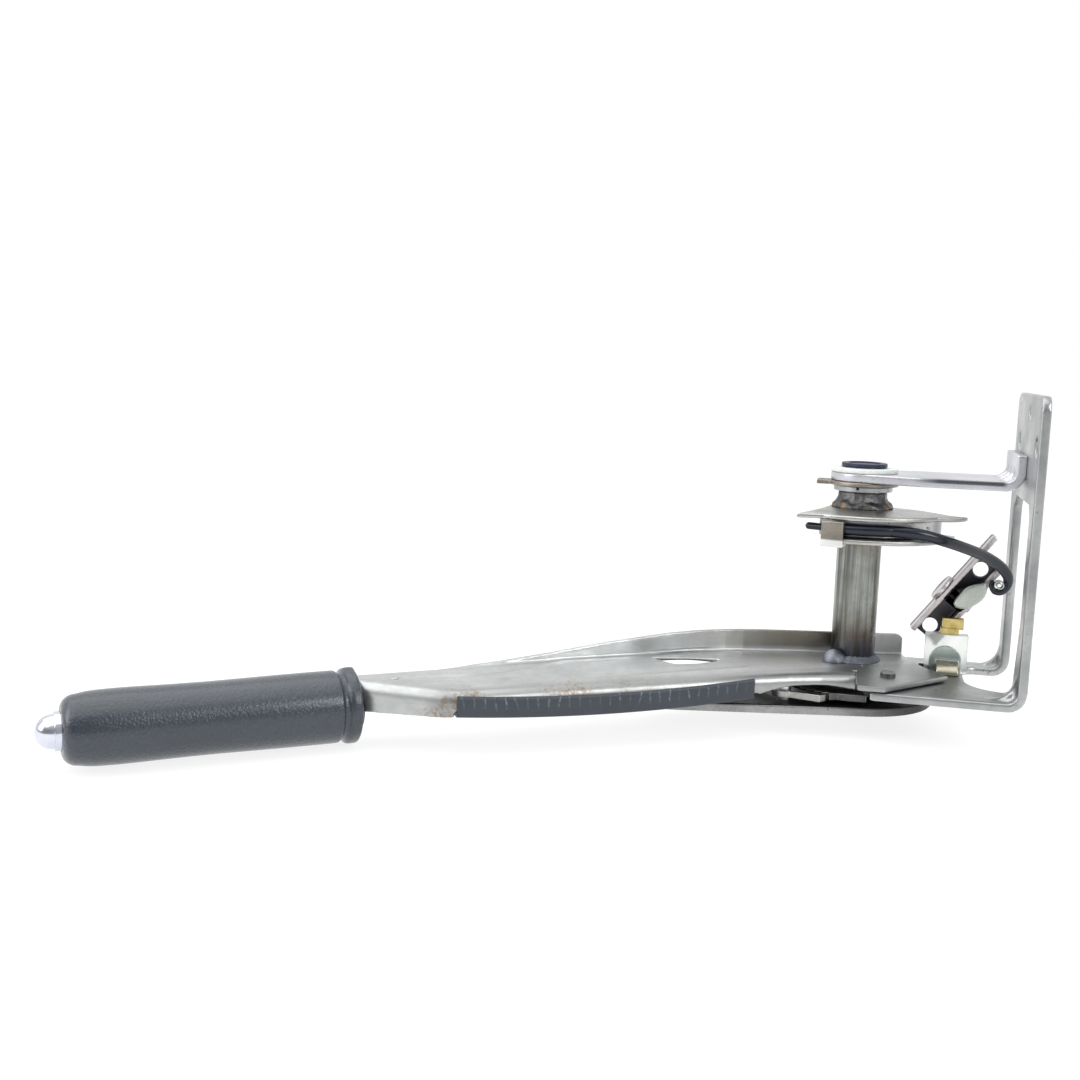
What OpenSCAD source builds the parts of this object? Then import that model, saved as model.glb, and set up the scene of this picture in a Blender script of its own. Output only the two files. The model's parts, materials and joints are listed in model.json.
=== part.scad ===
// Parking brake lever, lying on its side as it is handled on a bench.
// X runs to the right through the mounting flange, Y runs away from the viewer,
// Z runs up along the pivot shaft.
// The origin is on the outer face of the mounting flange, midway between its two side holes.
// Inside at_pivot() the origin is the shaft axis at the top face of the lever's web.

/* [Bracket] */
// Distance from the shaft axis to the outer face of the flange
shaft_back = 72; // [66:1:90]
// Distance from the shaft axis to the near edge of the bracket
bracket_near = 52; // [50:1:60]
// Distance from the shaft axis to the far edge of the bracket
bracket_far = 27; // [24:1:34]
// Thickness of the bracket plate
bracket_t = 4; // [3:0.5:5]
// Height of the flange above the lever's web
flange_top = 126.5; // [118:0.5:140]
// Inside radius of the two folds at the foot of the legs
fold_r = 4; // [3:0.5:6]
// Width of the near leg
near_leg_w = 12; // [10:1:14]
// Width of the far leg
far_leg_w = 12; // [10:1:14]
// Extra width of the near leg at its foot
near_leg_flare = 9; // [6:1:12]
// Height of the top of the window above the lever's web
window_top = 80; // [70:1:82]
// Diameter of the upper bolt hole
top_hole_d = 7; // [6:0.5:9]
// Diameter of the two side bolt holes
side_hole_d = 9.5; // [7:0.5:10]

/* [Shaft] */
// Outside diameter of the pivot tube
tube_d = 20; // [18:0.5:22]
// Wall of the pivot tube
tube_wall = 2.5; // [2:0.25:3.5]
// Height of the underside of the arm above the lever's web
arm_z = 84; // [83:0.5:88]
// Half width of the arm where it meets the flange
arm_half = 21; // [18:1:24]
// Outside diameter of the upper bush in the arm
bush_d = 25; // [24.5:0.5:26]
// Diameter of the bush's white rim
bush_rim_d = 30.4; // [29:0.2:32]
// Radial running clearance of the bushes on the tube
run_gap = 0.05; // [0.02:0.01:0.1]

/* [Lever] */
// Sheet thickness of the upper lever plate
web_t = 2.5; // [2:0.1:2.5]
// Depth of the near wall below the top of the web, at its middle
wall_drop = 11.2; // [10:0.1:12]
// Height of the far flange above the web
far_flange_h = 10; // [8:0.5:10]
// Outside radius of the bend along the near edge
edge_bend_r = 5; // [4:0.5:6]
// Heading of the straight near edge
edge_heading = 33; // [32:0.5:34]
// Length of the straight near edge
edge_len = 136; // [134:1:138]
// Sheet thickness of the lower lever plate
lower_t = 1.5; // [1.2:0.1:2]
// Depth of the rim of the lower lever plate
lower_rim = 4; // [3:0.5:6]
// Radius of the lower plate round the shaft
lower_r = 37; // [34:1:40]

/* [Grip] */
// Length of the rubber grip
grip_len = 116.5; // [110:0.5:125]
// Diameter of the rubber grip
grip_d = 30; // [28:0.5:33]
// Heading of the grip
grip_heading = 38.8; // [38:0.2:40]
// Depth of the grip's axis below the top of the web
grip_drop = 12; // [11.8:0.1:12.2]
// Outside diameter of the tang inside the grip
tang_d = 21; // [19:0.5:22]
// Diameter of the push button
button_d = 15.5; // [13:0.5:16]
// Length of the button outside the grip
button_out = 9.5; // [8:0.5:12]
// Diameter of the push rod
rod_d = 3.5; // [3:0.25:3.5]

/* [Trim] */
// Thickness of the edge protection strip
trim_t = 1.6; // [1.2:0.1:2]
// Height of the strip
trim_h = 8.9; // [8:0.1:9.5]
// Spacing of the ticks along the strip
tick_pitch = 2.4; // [2:0.2:4]

/* [Ratchet] */
// Radius of the ratchet at the tooth tips
ratchet_r = 36; // [35:0.5:36.5]
// Depth of a ratchet tooth
tooth_depth = 2.2; // [1.8:0.1:2.4]
// Angle from tooth to tooth
tooth_pitch = 6; // [5.8:0.1:6.2]
// Thickness of the ratchet and the pawl
ratchet_t = 3; // [2.4:0.2:3.2]
// Diameter of the pawl's pin
pawl_pin_d = 6; // [5:0.5:7]

/* [Cable] */
// Radius of the cable sector's plates
sector_r = 42; // [40:0.5:43]
// Radius of the floor of the groove
groove_r = 36; // [35:0.5:36]
// Height of the top of the sector above the web
sector_top = 71.6; // [71:0.2:72]
// Height of the sector over both plates
sector_h = 12.2; // [11.4:0.2:12.4]
// Thickness of a sector plate
sector_t = 2; // [1.6:0.1:2.2]
// Diameter of the coated cable
cable_d = 5; // [4.4:0.2:5.2]

/* [Equaliser] */
// Length of the equaliser bar
bar_len = 57; // [54:1:60]
// Width of the equaliser bar
bar_w = 14; // [13:0.5:15]
// Depth of the bar's flanges
bar_depth = 10; // [9:0.5:11]
// Wall of the bar
bar_wall = 2.5; // [2:0.1:3]
// Diameter of the two cable holes
bar_hole_d = 7; // [6:0.5:8]
// Distance between the two cable holes
bar_span = 35; // [33:1:36]
// Diameter of the bar's pin
bar_pin_d = 4; // [3:0.5:4.5]

/* [Switch] */
// Width of the switch block
switch_w = 18.8; // [16:0.2:19]
// Depth of the switch block
switch_depth = 6.5; // [5.5:0.5:6.5]
// Height of the switch block
switch_h = 17.6; // [15:0.1:18]
// Width of the spring clip
clip_w = 14.4; // [13:0.2:14.6]
// Sheet thickness of the spring clip
clip_t = 1.2; // [0.8:0.1:1.3]

/* [Hidden] */
$fn = 48;
seat_gap = 0.05;
rest_gap = 0.3;
tube_r = tube_d / 2;

// bracket levels
plate_gap = 0.4;
plate_top = -web_t - plate_gap;
plate_z = plate_top - bracket_t;
flange_x = shaft_back - bracket_t;
fold_out = fold_r + bracket_t;
top_hole = [-15, flange_top - 8.2];
side_hole_z = flange_top - 22;
near_hole_y = 8 - bracket_near;
far_hole_y = bracket_far - 13;
shaft_side = -(near_hole_y + far_hole_y) / 2;
web_drop = side_hole_z;
hub_plate_r = 27;
plate_corner = [8, -bracket_near];
window_near = near_leg_w - bracket_near;
window_far = bracket_far - far_leg_w;
slot_x = 50;
gusset = 10;
gusset_w = 4;

// arm and bushes
arm_top = arm_z + bracket_t;
arm_end_r = bush_rim_d / 2 - 0.4;
arm_taper_x = 24;
tab_h = 12;
rim_t = 2.1;
keep_t = 2;
keep_tab = [12, 10];
keep_tab_x = -21;
keep_hole_x = -17.5;
keep_hole_r = 1.6;
keep_z = arm_z - keep_t - seat_gap;
collar_r = 13.2;
collar_t = 2.5;
collar_z = keep_z - collar_t - seat_gap;
plug_z = arm_top + rim_t + rest_gap;
plug_t = 1.8;
tube_foot = -17;
weld_lump_at = [-8, -9.5];
weld_lump_r = 5.5;
weld_w = 3.2;
weld_h = 3.4;

// lever plan: the near edge and the far edge are runs from heading to heading, joined past each corner
edge_start = [-153.5, -124];
edge_end = edge_start + edge_len * [cos(edge_heading), sin(edge_heading)];
neck_lens = [39, 8.4];
neck_heads = [edge_heading - 38, edge_heading - 19];
end_lens = [15.2, 15.2, 15.2];
end_heads = [edge_heading - 2.9, edge_heading - 8.7, edge_heading - 14.6];
neck_mid = edge_start - neck_lens[1] * [cos(neck_heads[1]), sin(neck_heads[1])];
neck_start = neck_mid - neck_lens[0] * [cos(neck_heads[0]), sin(neck_heads[0])];
neck_drop = 12.8;
neck_rise = 2.5;
neck_far = [-209.7, -110.7];
neck_far_heading = 37;
neck_far_len = 38;
far_start = [-186, -100.5];
far_heads = [45, 40, 34, 30.6, 23.8, 17, 13.6];
far_lens = [35.4, 38.9, 75.5, 9.5, 9.5, 9.5, 67.3];
far_last = len(far_heads) - 1;
ramp_heading = 40;
ramp_points = [[18, 0], [45, 1.2], [72, 3.4], [100, 6.8], [128, 9.4]];
ramp_len = 142;
bow_r = 844;
bow_at = 65.5;
trim_from = 1.2;
trim_to = 133;
trim_back = 3.2;
tick_w = 0.6;
tick_h = 3;
tick_in = 0.4;
corner_join = 0.3;
join_step = 0.02;
bend_steps = 6;
web_strip = 12;
tail_points = [[30.3, -2.5], [42, -21], [14, -53.5], [2.5, -53.5], [2.5, -24]];
web_inner = [[-43.4, -42.9], [-154.4, -114], [-165, -118], [-186, -115]];
slot_points = [[-91, -33.5], [-75, -29.5], [-59, -26], [-61, -30.5], [-68, -36.5], [-78, -40.5]];
screw_at = [15.7, -30.8];
lower_top = -14.2;
lower_tail_r = 18;
tangent_in = 0.05;
lower_tail = [-78.9, -36.7];
column_at = [-70, -46];
column_r = 4;
arch_at = [-18, -37];
arch_r = 90;
arch_z = -5.5;

// grip line, with zero at the collar end of the grip and minus towards the button
grip_end = [-204.2, -115.6];
tang_len = 92;
tang_wall = 2;
tang_in = 2;
rod_knee = 19.5;
rod_tip = [-45.9, -16.3];
rod_r = rod_d / 2;
rod_end_in = 3;
button_in = 14;
button_step = 2.4;
grip_dir = [cos(grip_heading), sin(grip_heading)];
knee = grip_end + rod_knee * grip_dir;

// ratchet and pawl
ratchet_z = -12.4;
ratchet_top = ratchet_z + ratchet_t;
pad_r = 24;
pad_in_r = 14.5;
first_tooth = -105.4;
tooth_count = 9;
tooth_rake = 1;
ratchet_root = ratchet_r - tooth_depth;
pawl_pin = [-29.1, -32.3];
pawl_hub_r = 5.5;
pawl_tail = [-43.5, -14.4];

// cable sector and cable route
sector_boss_r = 15;
upper_tab = [-28, -40];
upper_lug = [45, -24];
lower_tab = [-15, -36];
lower_lug = [41.6, -6];
sector_bottom = sector_top - sector_h;
cable_z = sector_bottom + sector_h / 2;
cable_r = cable_d / 2;
wrap_r = groove_r + cable_r + 0.2;
wrap_from = -112;
clip_to = -100;
clip_sweep = 13;
clip_gap = 0.1;
clip_band_t = 2;
clip_lip = 6;
clip_lip_t = 1.5;
clip_pad = 4.8;
wrap_to = -72;
wrap_break = 0.9;
cable_sides = 10;
run_points = [[19.8, -35.6, 65.5], [27, -34, 64.9], [35, -30.5, 62.2], [44, -22, 58.6], [54, -11, 54],
  [62, -3.5, 48.8], [66.4, 0.4, 43.6], [66.6, 2.2, 39], [64.4, 2.4, 36.2], [61.6, 2.4, 36], [60, 2.4, 38.2],
  [60, 2.4, 41]];

// equaliser
bar_at = [45.5, 17, 29.8];
bar_low = 23.5;
bar_angle = 53.5;
bar_head_r = 6.5;
bar_head_t = 2;
clevis_t = 4;
clevis_points = [[-3, 4], [6, 9], [11.7, 12], [11.7, 8.5], [8.5, 1], [2, -5]];
pin_up = bar_depth / 2 + 1;
tilt_gap = 1.8;

// switch
switch_at = [32.6, -2];
switch_z = plate_top + seat_gap;
clip_at = [34.4, -3.6];
clip_h = 12.9;
terminal_x = 39;
plunger_y = 1.5;
plunger_z = -1.3;
plunger_r = 1.15;
plunger_tip = 30.4;

function polar(r, a) = r * [cos(a), sin(a)];

// Points along an arc, in equal steps
function arc(centre, r, a0, a1) =
  [for (i = [0 : bend_steps]) centre + polar(r, a0 + (a1 - a0) * i / bend_steps)];

// From the frame's origin on the flange to the shaft axis
module at_pivot() {
  translate([-shaft_back, shaft_side, -web_drop]) children();
}

// A straight run of a section. The section's x points to the left of the heading, its y points up.
module run(from, heading, length) {
  translate([from[0], from[1], 0]) rotate([90, 0, heading + 90]) linear_extrude(length) children();
}

// Where the k-th run of a path starts
function path_at(from, heads, lens, k) =
  k == 0 ? from : path_at(from, heads, lens, k - 1) + lens[k - 1] * polar(1, heads[k - 1]);

// A section along a path of straight runs
module path_run(from, heads, lens) {
  for (k = [0 : len(heads) - 1])
    run(path_at(from, heads, lens, k) - polar(corner_join, heads[k]), heads[k], lens[k] + 2 * corner_join)
      children();
}

// A flat outline with a thickness, standing on a level
module slab(z, t) {
  translate([0, 0, z]) linear_extrude(t) children();
}

// A section drawn in X and Z, running along Y
module across(y0, y1) {
  translate([0, y1, 0]) rotate([90, 0, 0]) linear_extrude(y1 - y0) children();
}

// A section drawn in Y and Z, running along X
module along(x0, x1) {
  translate([x0, 0, 0]) rotate([90, 0, 90]) linear_extrude(x1 - x0) children();
}

// The strip section of a plate folded up through a right angle
module fold_section(x0, x_out, z0, z_top, t, r) {
  out = r + t;
  translate([x0, z0]) square([x_out - out - x0, t]);
  translate([x_out - t, z0 + out]) square([t, z_top - z0 - out]);
  translate([x_out - out, z0 + out]) intersection() {
    difference() {
      circle(out);
      circle(r);
    }
    translate([0, -out]) square([out, out]);
  }
}

// Corner webs pressed into a fold
module gusset_at(y, x_in, z_in, size) {
  across(y - gusset_w / 2, y + gusset_w / 2) difference() {
    translate([x_in - size, z_in - 1]) square([size + 1, size + 1]);
    translate([x_in - size, z_in + size]) circle(size - 0.6);
  }
}

module bracket_plate() {
  color("LightSteelBlue") at_pivot() difference() {
    union() {
      across(-bracket_near, bracket_far)
        fold_section(-hub_plate_r, shaft_back, plate_z, flange_top, bracket_t, fold_r);
      gusset_at(window_near - near_leg_w / 2, flange_x, plate_top, gusset);
      gusset_at(window_far + far_leg_w / 2, flange_x, plate_top, gusset);
    }
    // plan of the foot round the shaft
    slab(plate_z - 1, bracket_t + 1 + plate_gap / 2) difference() {
      translate([-hub_plate_r - 1, -bracket_near - 1])
        square([hub_plate_r + slot_x - 10, bracket_near + bracket_far + 2]);
      circle(hub_plate_r);
      polygon([plate_corner, [slot_x, -bracket_near], [slot_x, bracket_far], [0, bracket_far], [0, 0],
        polar(hub_plate_r, -60)]);
    }
    // window through the flange and out through the folds
    along(flange_x - 1, shaft_back + 1)
      polygon([[window_near, window_top - 5], [window_near + 5, window_top], [window_far - 5, window_top],
        [window_far, window_top - 5], [window_far, plate_z - 1],
        [window_near + near_leg_flare, plate_z - 1], [window_near + near_leg_flare, plate_top + fold_r],
        [window_near, plate_top + 34]]);
    slab(plate_z - 1, bracket_t + fold_out + 1) {
      translate([slot_x + 14, window_near + near_leg_flare])
        square([shaft_back - slot_x, window_far - window_near - near_leg_flare]);
      difference() {
        translate([slot_x, window_near + near_leg_flare])
          square([15, window_far - window_near - near_leg_flare]);
        translate([slot_x - 1, window_near + near_leg_flare - 1]) difference() {
          square([19, 19]);
          translate([19, 19]) circle(18);
        }
        translate([slot_x - 1, window_far - 8]) difference() {
          square([9, 9]);
          translate([9, 0]) circle(8);
        }
      }
    }
    // bolt holes
    translate([flange_x - 1, top_hole[0], top_hole[1]]) rotate([0, 90, 0])
      cylinder(d = top_hole_d, h = bracket_t + 2);
    for (y = [near_hole_y, far_hole_y])
      translate([flange_x - 1, y, side_hole_z]) rotate([0, 90, 0])
        cylinder(d = side_hole_d, h = bracket_t + 2);
    // rounded top corners
    along(flange_x - 1, shaft_back + 1) {
      translate([-bracket_near, flange_top - 6]) difference() {
        translate([-1, 0]) square([7, 7]);
        translate([6, 0]) circle(6);
      }
      translate([bracket_far - 6, flange_top - 6]) difference() {
        square([7, 7]);
        circle(6);
      }
    }
    // seat of the lower bush
    translate([0, 0, plate_z - 1]) cylinder(r = lower_bush_r() + seat_gap, h = bracket_t + 2);
  }
}

function lower_bush_r() = tube_r + 2;

module top_arm() {
  color("Silver") at_pivot() difference() {
    intersection() {
      across(-arm_half - 1, arm_half + 1)
        fold_section(-arm_end_r - 1, flange_x, arm_z, arm_top + tab_h, bracket_t, fold_r);
      slab(arm_z - 1, bracket_t + tab_h + 2) {
        circle(arm_end_r);
        polygon([polar(arm_end_r, 112), polar(arm_end_r, -112), [arm_taper_x, -arm_half],
          [flange_x, -arm_half], [flange_x, arm_half], [arm_taper_x, arm_half]]);
      }
    }
    translate([0, 0, arm_z - 1]) cylinder(d = bush_d + 2 * seat_gap, h = bracket_t + 2);
    // pressed groove along the near edge
    translate([arm_taper_x, 3 - arm_half, arm_top - 0.7]) cube([34, 1.6, 2]);
  }
  color("Silver") at_pivot() for (y = [-10, 0, 10]) gusset_at(y, flange_x - bracket_t, arm_top, 6);
}

module upper_bush() {
  color("Ivory") at_pivot() difference() {
    union() {
      translate([0, 0, arm_top + seat_gap]) cylinder(d = bush_rim_d, h = rim_t);
      translate([0, 0, arm_z]) cylinder(d = bush_d, h = bracket_t + 1);
    }
    translate([0, 0, arm_z - 1]) cylinder(r = tube_r + run_gap, h = bracket_t + rim_t + 3);
  }
}

module bush_collar() {
  color("Gainsboro") at_pivot() translate([0, 0, collar_z]) difference() {
    cylinder(r = collar_r, h = collar_t);
    translate([0, 0, -1]) cylinder(r = tube_r + run_gap, h = collar_t + 2);
  }
}

module bush_keeper() {
  color("DimGray") at_pivot() difference() {
    slab(keep_z, keep_t) {
      circle(arm_end_r + 1);
      translate([keep_tab_x, -keep_tab[1] / 2]) square(keep_tab);
    }
    translate([0, 0, keep_z - 1]) cylinder(r = tube_r + rest_gap, h = keep_t + 2);
    translate([keep_hole_x, 0, keep_z - 1]) cylinder(r = keep_hole_r, h = keep_t + 2);
  }
}

module lower_bush() {
  color("Ivory") at_pivot() difference() {
    union() {
      translate([0, 0, plate_z - 1.5]) cylinder(r = lower_bush_r() + 1.8, h = 1.5);
      translate([0, 0, plate_z - 0.5]) cylinder(r = lower_bush_r(), h = bracket_t + 0.5);
    }
    translate([0, 0, plate_z - 3]) cylinder(r = tube_r + run_gap, h = bracket_t + 5);
  }
}

// One ratchet tooth: a raked face that stops the pawl and a long back
module tooth(i) {
  a = first_tooth - i * tooth_pitch;
  polygon([polar(ratchet_root - 2, a - 0.4), polar(ratchet_root, a), polar(ratchet_r, a + tooth_rake),
    polar(ratchet_root, a + tooth_pitch), polar(ratchet_root - 2, a + tooth_pitch)]);
}

module ratchet_sector() {
  color("SlateGray") at_pivot() {
    slab(ratchet_z, ratchet_t) difference() {
      union() {
        intersection() {
          circle(ratchet_root);
          polygon([[0, 0], polar(80, -78), polar(80, -100), polar(80, -130), polar(80, -166)]);
        }
        circle(pad_r);
        for (i = [0 : tooth_count - 1]) tooth(i);
      }
      circle(pad_in_r);
    }
    slab(ratchet_top - 0.5, plate_z - ratchet_top + 0.5) difference() {
      circle(pad_r);
      circle(pad_in_r);
    }
  }
}

module switch_body() {
  color("WhiteSmoke") at_pivot() difference() {
    translate([switch_at[0], switch_at[1], switch_z]) cube([switch_w, switch_depth, switch_h]);
    // guide of the plunger
    translate([switch_at[0] - 1, plunger_y, plunger_z]) rotate([0, 90, 0])
      cylinder(r = plunger_r + run_gap, h = 8);
    // chamfer towards the viewer along the top
    translate([switch_at[0] - 1, switch_at[1], switch_z + switch_h]) rotate([45, 0, 0])
      cube([switch_w + 2, 1.6, 1.6], center = false);
  }
}

module switch_clip() {
  mid = clip_at[0] + clip_w / 2;
  rise = clip_h - clip_w / 2;
  color("LightGray") at_pivot() {
    // upright with a round head
    across(clip_at[1], clip_at[1] + clip_t) {
      translate([clip_at[0], switch_z]) square([clip_w, rise]);
      intersection() {
        translate([mid, switch_z + rise]) circle(d = clip_w);
        translate([clip_at[0], switch_z + rise / 2]) square([clip_w, clip_w]);
      }
    }
    // sloping tongue that the block latches behind
    along(mid - 4, mid + 6)
      polygon([[clip_at[1] + 0.2, switch_z + rise - 1], [clip_at[1] + 0.2, switch_z + rise + 1],
        [clip_at[1] - 4.4, switch_z + clip_t], [clip_at[1] - 4.4, switch_z], [clip_at[1] - 3, switch_z]]);
  }
}

module switch_terminal() {
  color("Goldenrod") at_pivot() translate([terminal_x, switch_at[1] + 1.5, switch_z + switch_h]) {
    cube([8, 4.4, 3]);
    translate([0.6, 0.5, 2.5]) cube([9.4, 3.4, 5]);
  }
}

module switch_plunger() {
  color("DarkSlateGray") at_pivot() translate([plunger_tip, plunger_y, plunger_z]) rotate([0, 90, 0])
    cylinder(r = plunger_r, h = switch_at[0] + 4 - plunger_tip);
}

// Section of an edge that turns down: web strip, bend and wall
module edge_section(drop) {
  centre = [edge_bend_r, -edge_bend_r];
  polygon(concat([[web_strip, 0]], arc(centre, edge_bend_r, 90, 180), [[0, -drop], [web_t, -drop]],
    arc(centre, edge_bend_r - web_t, 180, 90), [[web_strip, -web_t]]));
}

// Face of the straight near wall: x along it, y up, z out towards the viewer
module at_edge() {
  translate([edge_start[0], edge_start[1], 0]) rotate([90, 0, edge_heading]) children();
}

// A corner of the far edge, and the same drawn in towards the web
function far_at(k) = path_at(far_start, far_heads, far_lens, k);
function far_outer() = [for (k = [0 : far_last + 1]) far_at(k)];
function far_in(k, inset) = far_at(k) + polar(inset, far_heads[min(k, far_last)] - 90);

// Distance from the shaft axis to the inner face of the far flange
function far_clear() = far_in(far_last, web_t) * polar(1, far_heads[far_last] + 90);

module lever_upper_plate() {
  flange_end_r = 4;
  color("Silver") at_pivot() difference() {
    union() {
      // near edge
      path_run(neck_start, neck_heads, neck_lens) edge_section(neck_drop);
      run(edge_start, edge_heading, edge_len) edge_section(wall_drop);
      path_run(edge_end, end_heads, end_lens) edge_section(wall_drop);
      // far side of the neck
      run(neck_far, neck_far_heading, neck_far_len) mirror([1, 0]) edge_section(neck_drop);
      // far edge with its upright flange
      slab(-web_t, web_t + far_flange_h)
        polygon(concat(far_outer(), [for (k = [far_last + 1 : -1 : 0]) far_in(k, web_t)]));
      // web
      slab(join_step - web_t, web_t - join_step)
        polygon(concat(far_outer(), tail_points, web_inner));
    }
    // the far flange rises from the neck
    translate([far_start[0], far_start[1], join_step]) rotate([90, 0, ramp_heading]) translate([0, 0, -20])
      linear_extrude(40)
        polygon(concat([[-10, 0]], ramp_points, [[ramp_len, far_flange_h], [ramp_len, 20], [-10, 20]]));
    // the lower edge of the neck rises towards the strip
    translate([neck_start[0], neck_start[1], 0]) rotate([90, 0, neck_heads[0]]) translate([0, 0, -6])
      linear_extrude(12) polygon([[-2, -neck_drop], [52, neck_rise - neck_drop], [52, -20], [-2, -20]]);
    // the lower edge of the straight wall is bowed
    at_edge() translate([bow_at, 0, -web_t - 2]) linear_extrude(web_t + 4) difference() {
      translate([-bow_at - 3, -wall_drop - 2]) square([edge_len + 3.5, 8]);
      translate([0, bow_r - wall_drop]) circle(bow_r, $fn = 720);
    }
    // clear end face against the grip
    translate([grip_end[0], grip_end[1], 0]) rotate([0, 0, grip_heading])
      translate([-40 + rest_gap, -40, -40]) cube([40, 80, 80]);
    // seat of the tang
    translate([grip_end[0], grip_end[1], -grip_drop]) rotate([0, 0, grip_heading]) translate([-1, 0, 0])
      rotate([0, 90, 0]) cylinder(d = tang_d + 2 * seat_gap, h = 1 + tang_in);
    // hole of the tube
    translate([0, 0, -web_t - 1]) cylinder(r = tube_r + seat_gap, h = web_t + 2);
    // cut-out of the web
    slab(-web_t - 1, web_t + 2) polygon(slot_points);
    // round top corner at the end of the far flange
    translate([far_at(far_last)[0], far_at(far_last)[1], 0]) rotate([90, 0, far_heads[far_last]])
      translate([far_lens[far_last] + corner_join - flange_end_r, far_flange_h - flange_end_r, -1])
      linear_extrude(web_t + 2) difference() {
        square(flange_end_r + 1);
        circle(flange_end_r);
      }
    // arch in the lower edge of the near wall
    translate([arch_at[0], arch_at[1], arch_z - arch_r]) rotate([90, 0, end_heads[1]])
      translate([0, 0, -12]) cylinder(r = arch_r, h = 24, $fn = 180);
    // seat of the screw
    translate([screw_at[0], screw_at[1], -web_t - 1]) cylinder(r = 2 + seat_gap, h = web_t + 2);
  }
}

// Outline of the lower plate: round the shaft, round the tail and straight between, drawn in by an amount
module lower_outline(inset) {
  r1 = lower_r - inset;
  r2 = lower_tail_r - inset;
  head = atan2(-lower_tail[1], -lower_tail[0]);
  swing = 90 + asin((lower_r - lower_tail_r) / norm(lower_tail));
  circle(r1);
  translate(lower_tail) circle(r2);
  s1 = r1 - tangent_in;
  s2 = r2 - tangent_in;
  polygon([lower_tail + polar(s2, head - swing), polar(s1, head - swing), polar(s1, head + swing),
    lower_tail + polar(s2, head + swing)]);
}

module lever_lower_plate() {
  color("Silver") at_pivot() difference() {
    slab(lower_top - lower_rim, lower_rim) lower_outline(0);
    slab(lower_top - lower_rim - 1, lower_rim + 1 - lower_t) lower_outline(lower_t);
    translate([0, 0, lower_top - lower_t - 1]) cylinder(r = tube_r + seat_gap, h = lower_t + 2);
  }
}

module lever_column() {
  color("Gray") at_pivot() translate([column_at[0], column_at[1], lower_top])
    cylinder(r = column_r, h = -web_t - lower_top);
}

module pivot_tube() {
  color("RosyBrown") at_pivot() translate([0, 0, tube_foot]) difference() {
    cylinder(r = tube_r, h = plug_z - tube_foot);
    translate([0, 0, -1]) cylinder(r = tube_r - tube_wall, h = plug_z - tube_foot + 2);
  }
}

module tube_plug() {
  color("MidnightBlue") at_pivot() {
    translate([0, 0, plug_z]) difference() {
      cylinder(r = tube_r + 0.3, h = plug_t);
      translate([0, 0, plug_t - 0.6]) cylinder(r = tube_r - tube_wall, h = 2);
    }
    translate([0, 0, plug_z - 6]) cylinder(r = tube_r - tube_wall - seat_gap, h = 6.5);
  }
}

module foot_weld() {
  color("DimGray") at_pivot() difference() {
    union() {
      rotate_extrude() polygon([[tube_r + seat_gap, seat_gap], [tube_r + weld_w, seat_gap],
        [tube_r + weld_w - 1, 1], [tube_r + 0.9, weld_h - 1.2], [tube_r + seat_gap, weld_h]]);
      intersection() {
        translate([weld_lump_at[0], weld_lump_at[1], seat_gap]) sphere(weld_lump_r);
        translate([-2 * tube_r, -2 * tube_r, seat_gap]) cube([4 * tube_r, 4 * tube_r, 2 * weld_lump_r]);
      }
    }
    translate([0, 0, -1]) cylinder(r = tube_r + seat_gap, h = 12);
    // clear of the far flange
    rotate([0, 0, far_heads[far_last]]) translate([-20, far_clear() - rest_gap, -1]) cube([40, 20, 12]);
  }
}

module sector_weld() {
  top = collar_z - rest_gap;
  color("DimGray") at_pivot() rotate_extrude() polygon([[tube_r + seat_gap, sector_top + 0.05],
    [tube_r + 4, sector_top + 0.05], [tube_r + 3.4, sector_top + 1.6], [tube_r + 1.6, sector_top + 3.4],
    [tube_r + 1, sector_top + 5], [tube_r + 0.8, top], [tube_r + seat_gap, top]]);
}

module web_screw() {
  color("DarkGray") at_pivot() translate([screw_at[0], screw_at[1], 0]) difference() {
    union() {
      translate([0, 0, seat_gap]) cylinder(r = 3.3, h = 1.8);
      translate([0, 0, -web_t]) cylinder(r = 2, h = web_t + 1);
    }
    translate([-4, -0.5, 1]) cube([8, 1, 2]);
  }
}

// Section of the edge protection: x down from the middle of the bow, y out towards the viewer
module trim_section() {
  foot = bow_r + seat_gap;
  back = -web_t - seat_gap;
  edge = 0.5;
  polygon([[foot + trim_t, back - trim_t], [foot + trim_t, seat_gap + trim_t - edge],
    [foot + trim_t - edge, seat_gap + trim_t], [foot + trim_t - trim_h + edge, seat_gap + trim_t],
    [foot + trim_t - trim_h, seat_gap + trim_t - edge], [foot + trim_t - trim_h, seat_gap],
    [foot, seat_gap], [foot, back], [foot - trim_back, back], [foot - trim_back, back - trim_t]]);
}

module edge_trim() {
  turn = 180 / PI / bow_r;
  from = (trim_from - bow_at) * turn;
  to = (trim_to - bow_at) * turn;
  tick_r = bow_r + trim_t - trim_h + 0.9;
  color("DarkSlateGray") at_pivot() at_edge() translate([bow_at, bow_r - wall_drop, 0])
    rotate([0, 0, -90]) difference() {
      rotate([0, 0, from]) rotate_extrude(angle = to - from, $fn = 720) trim_section();
      // ticks along the upper part of the strip
      for (a = [from + tick_pitch * turn : tick_pitch * turn : to - tick_pitch * turn / 2])
        rotate([0, 0, a]) translate([tick_r, -tick_w / 2, seat_gap + trim_t - tick_in])
          cube([tick_h, tick_w, tick_in + 1]);
    }
}

// Grip line with its axis along X, zero at the collar end
module at_grip() {
  at_pivot() translate([grip_end[0], grip_end[1], -grip_drop]) rotate([0, 0, grip_heading]) children();
}

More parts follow.
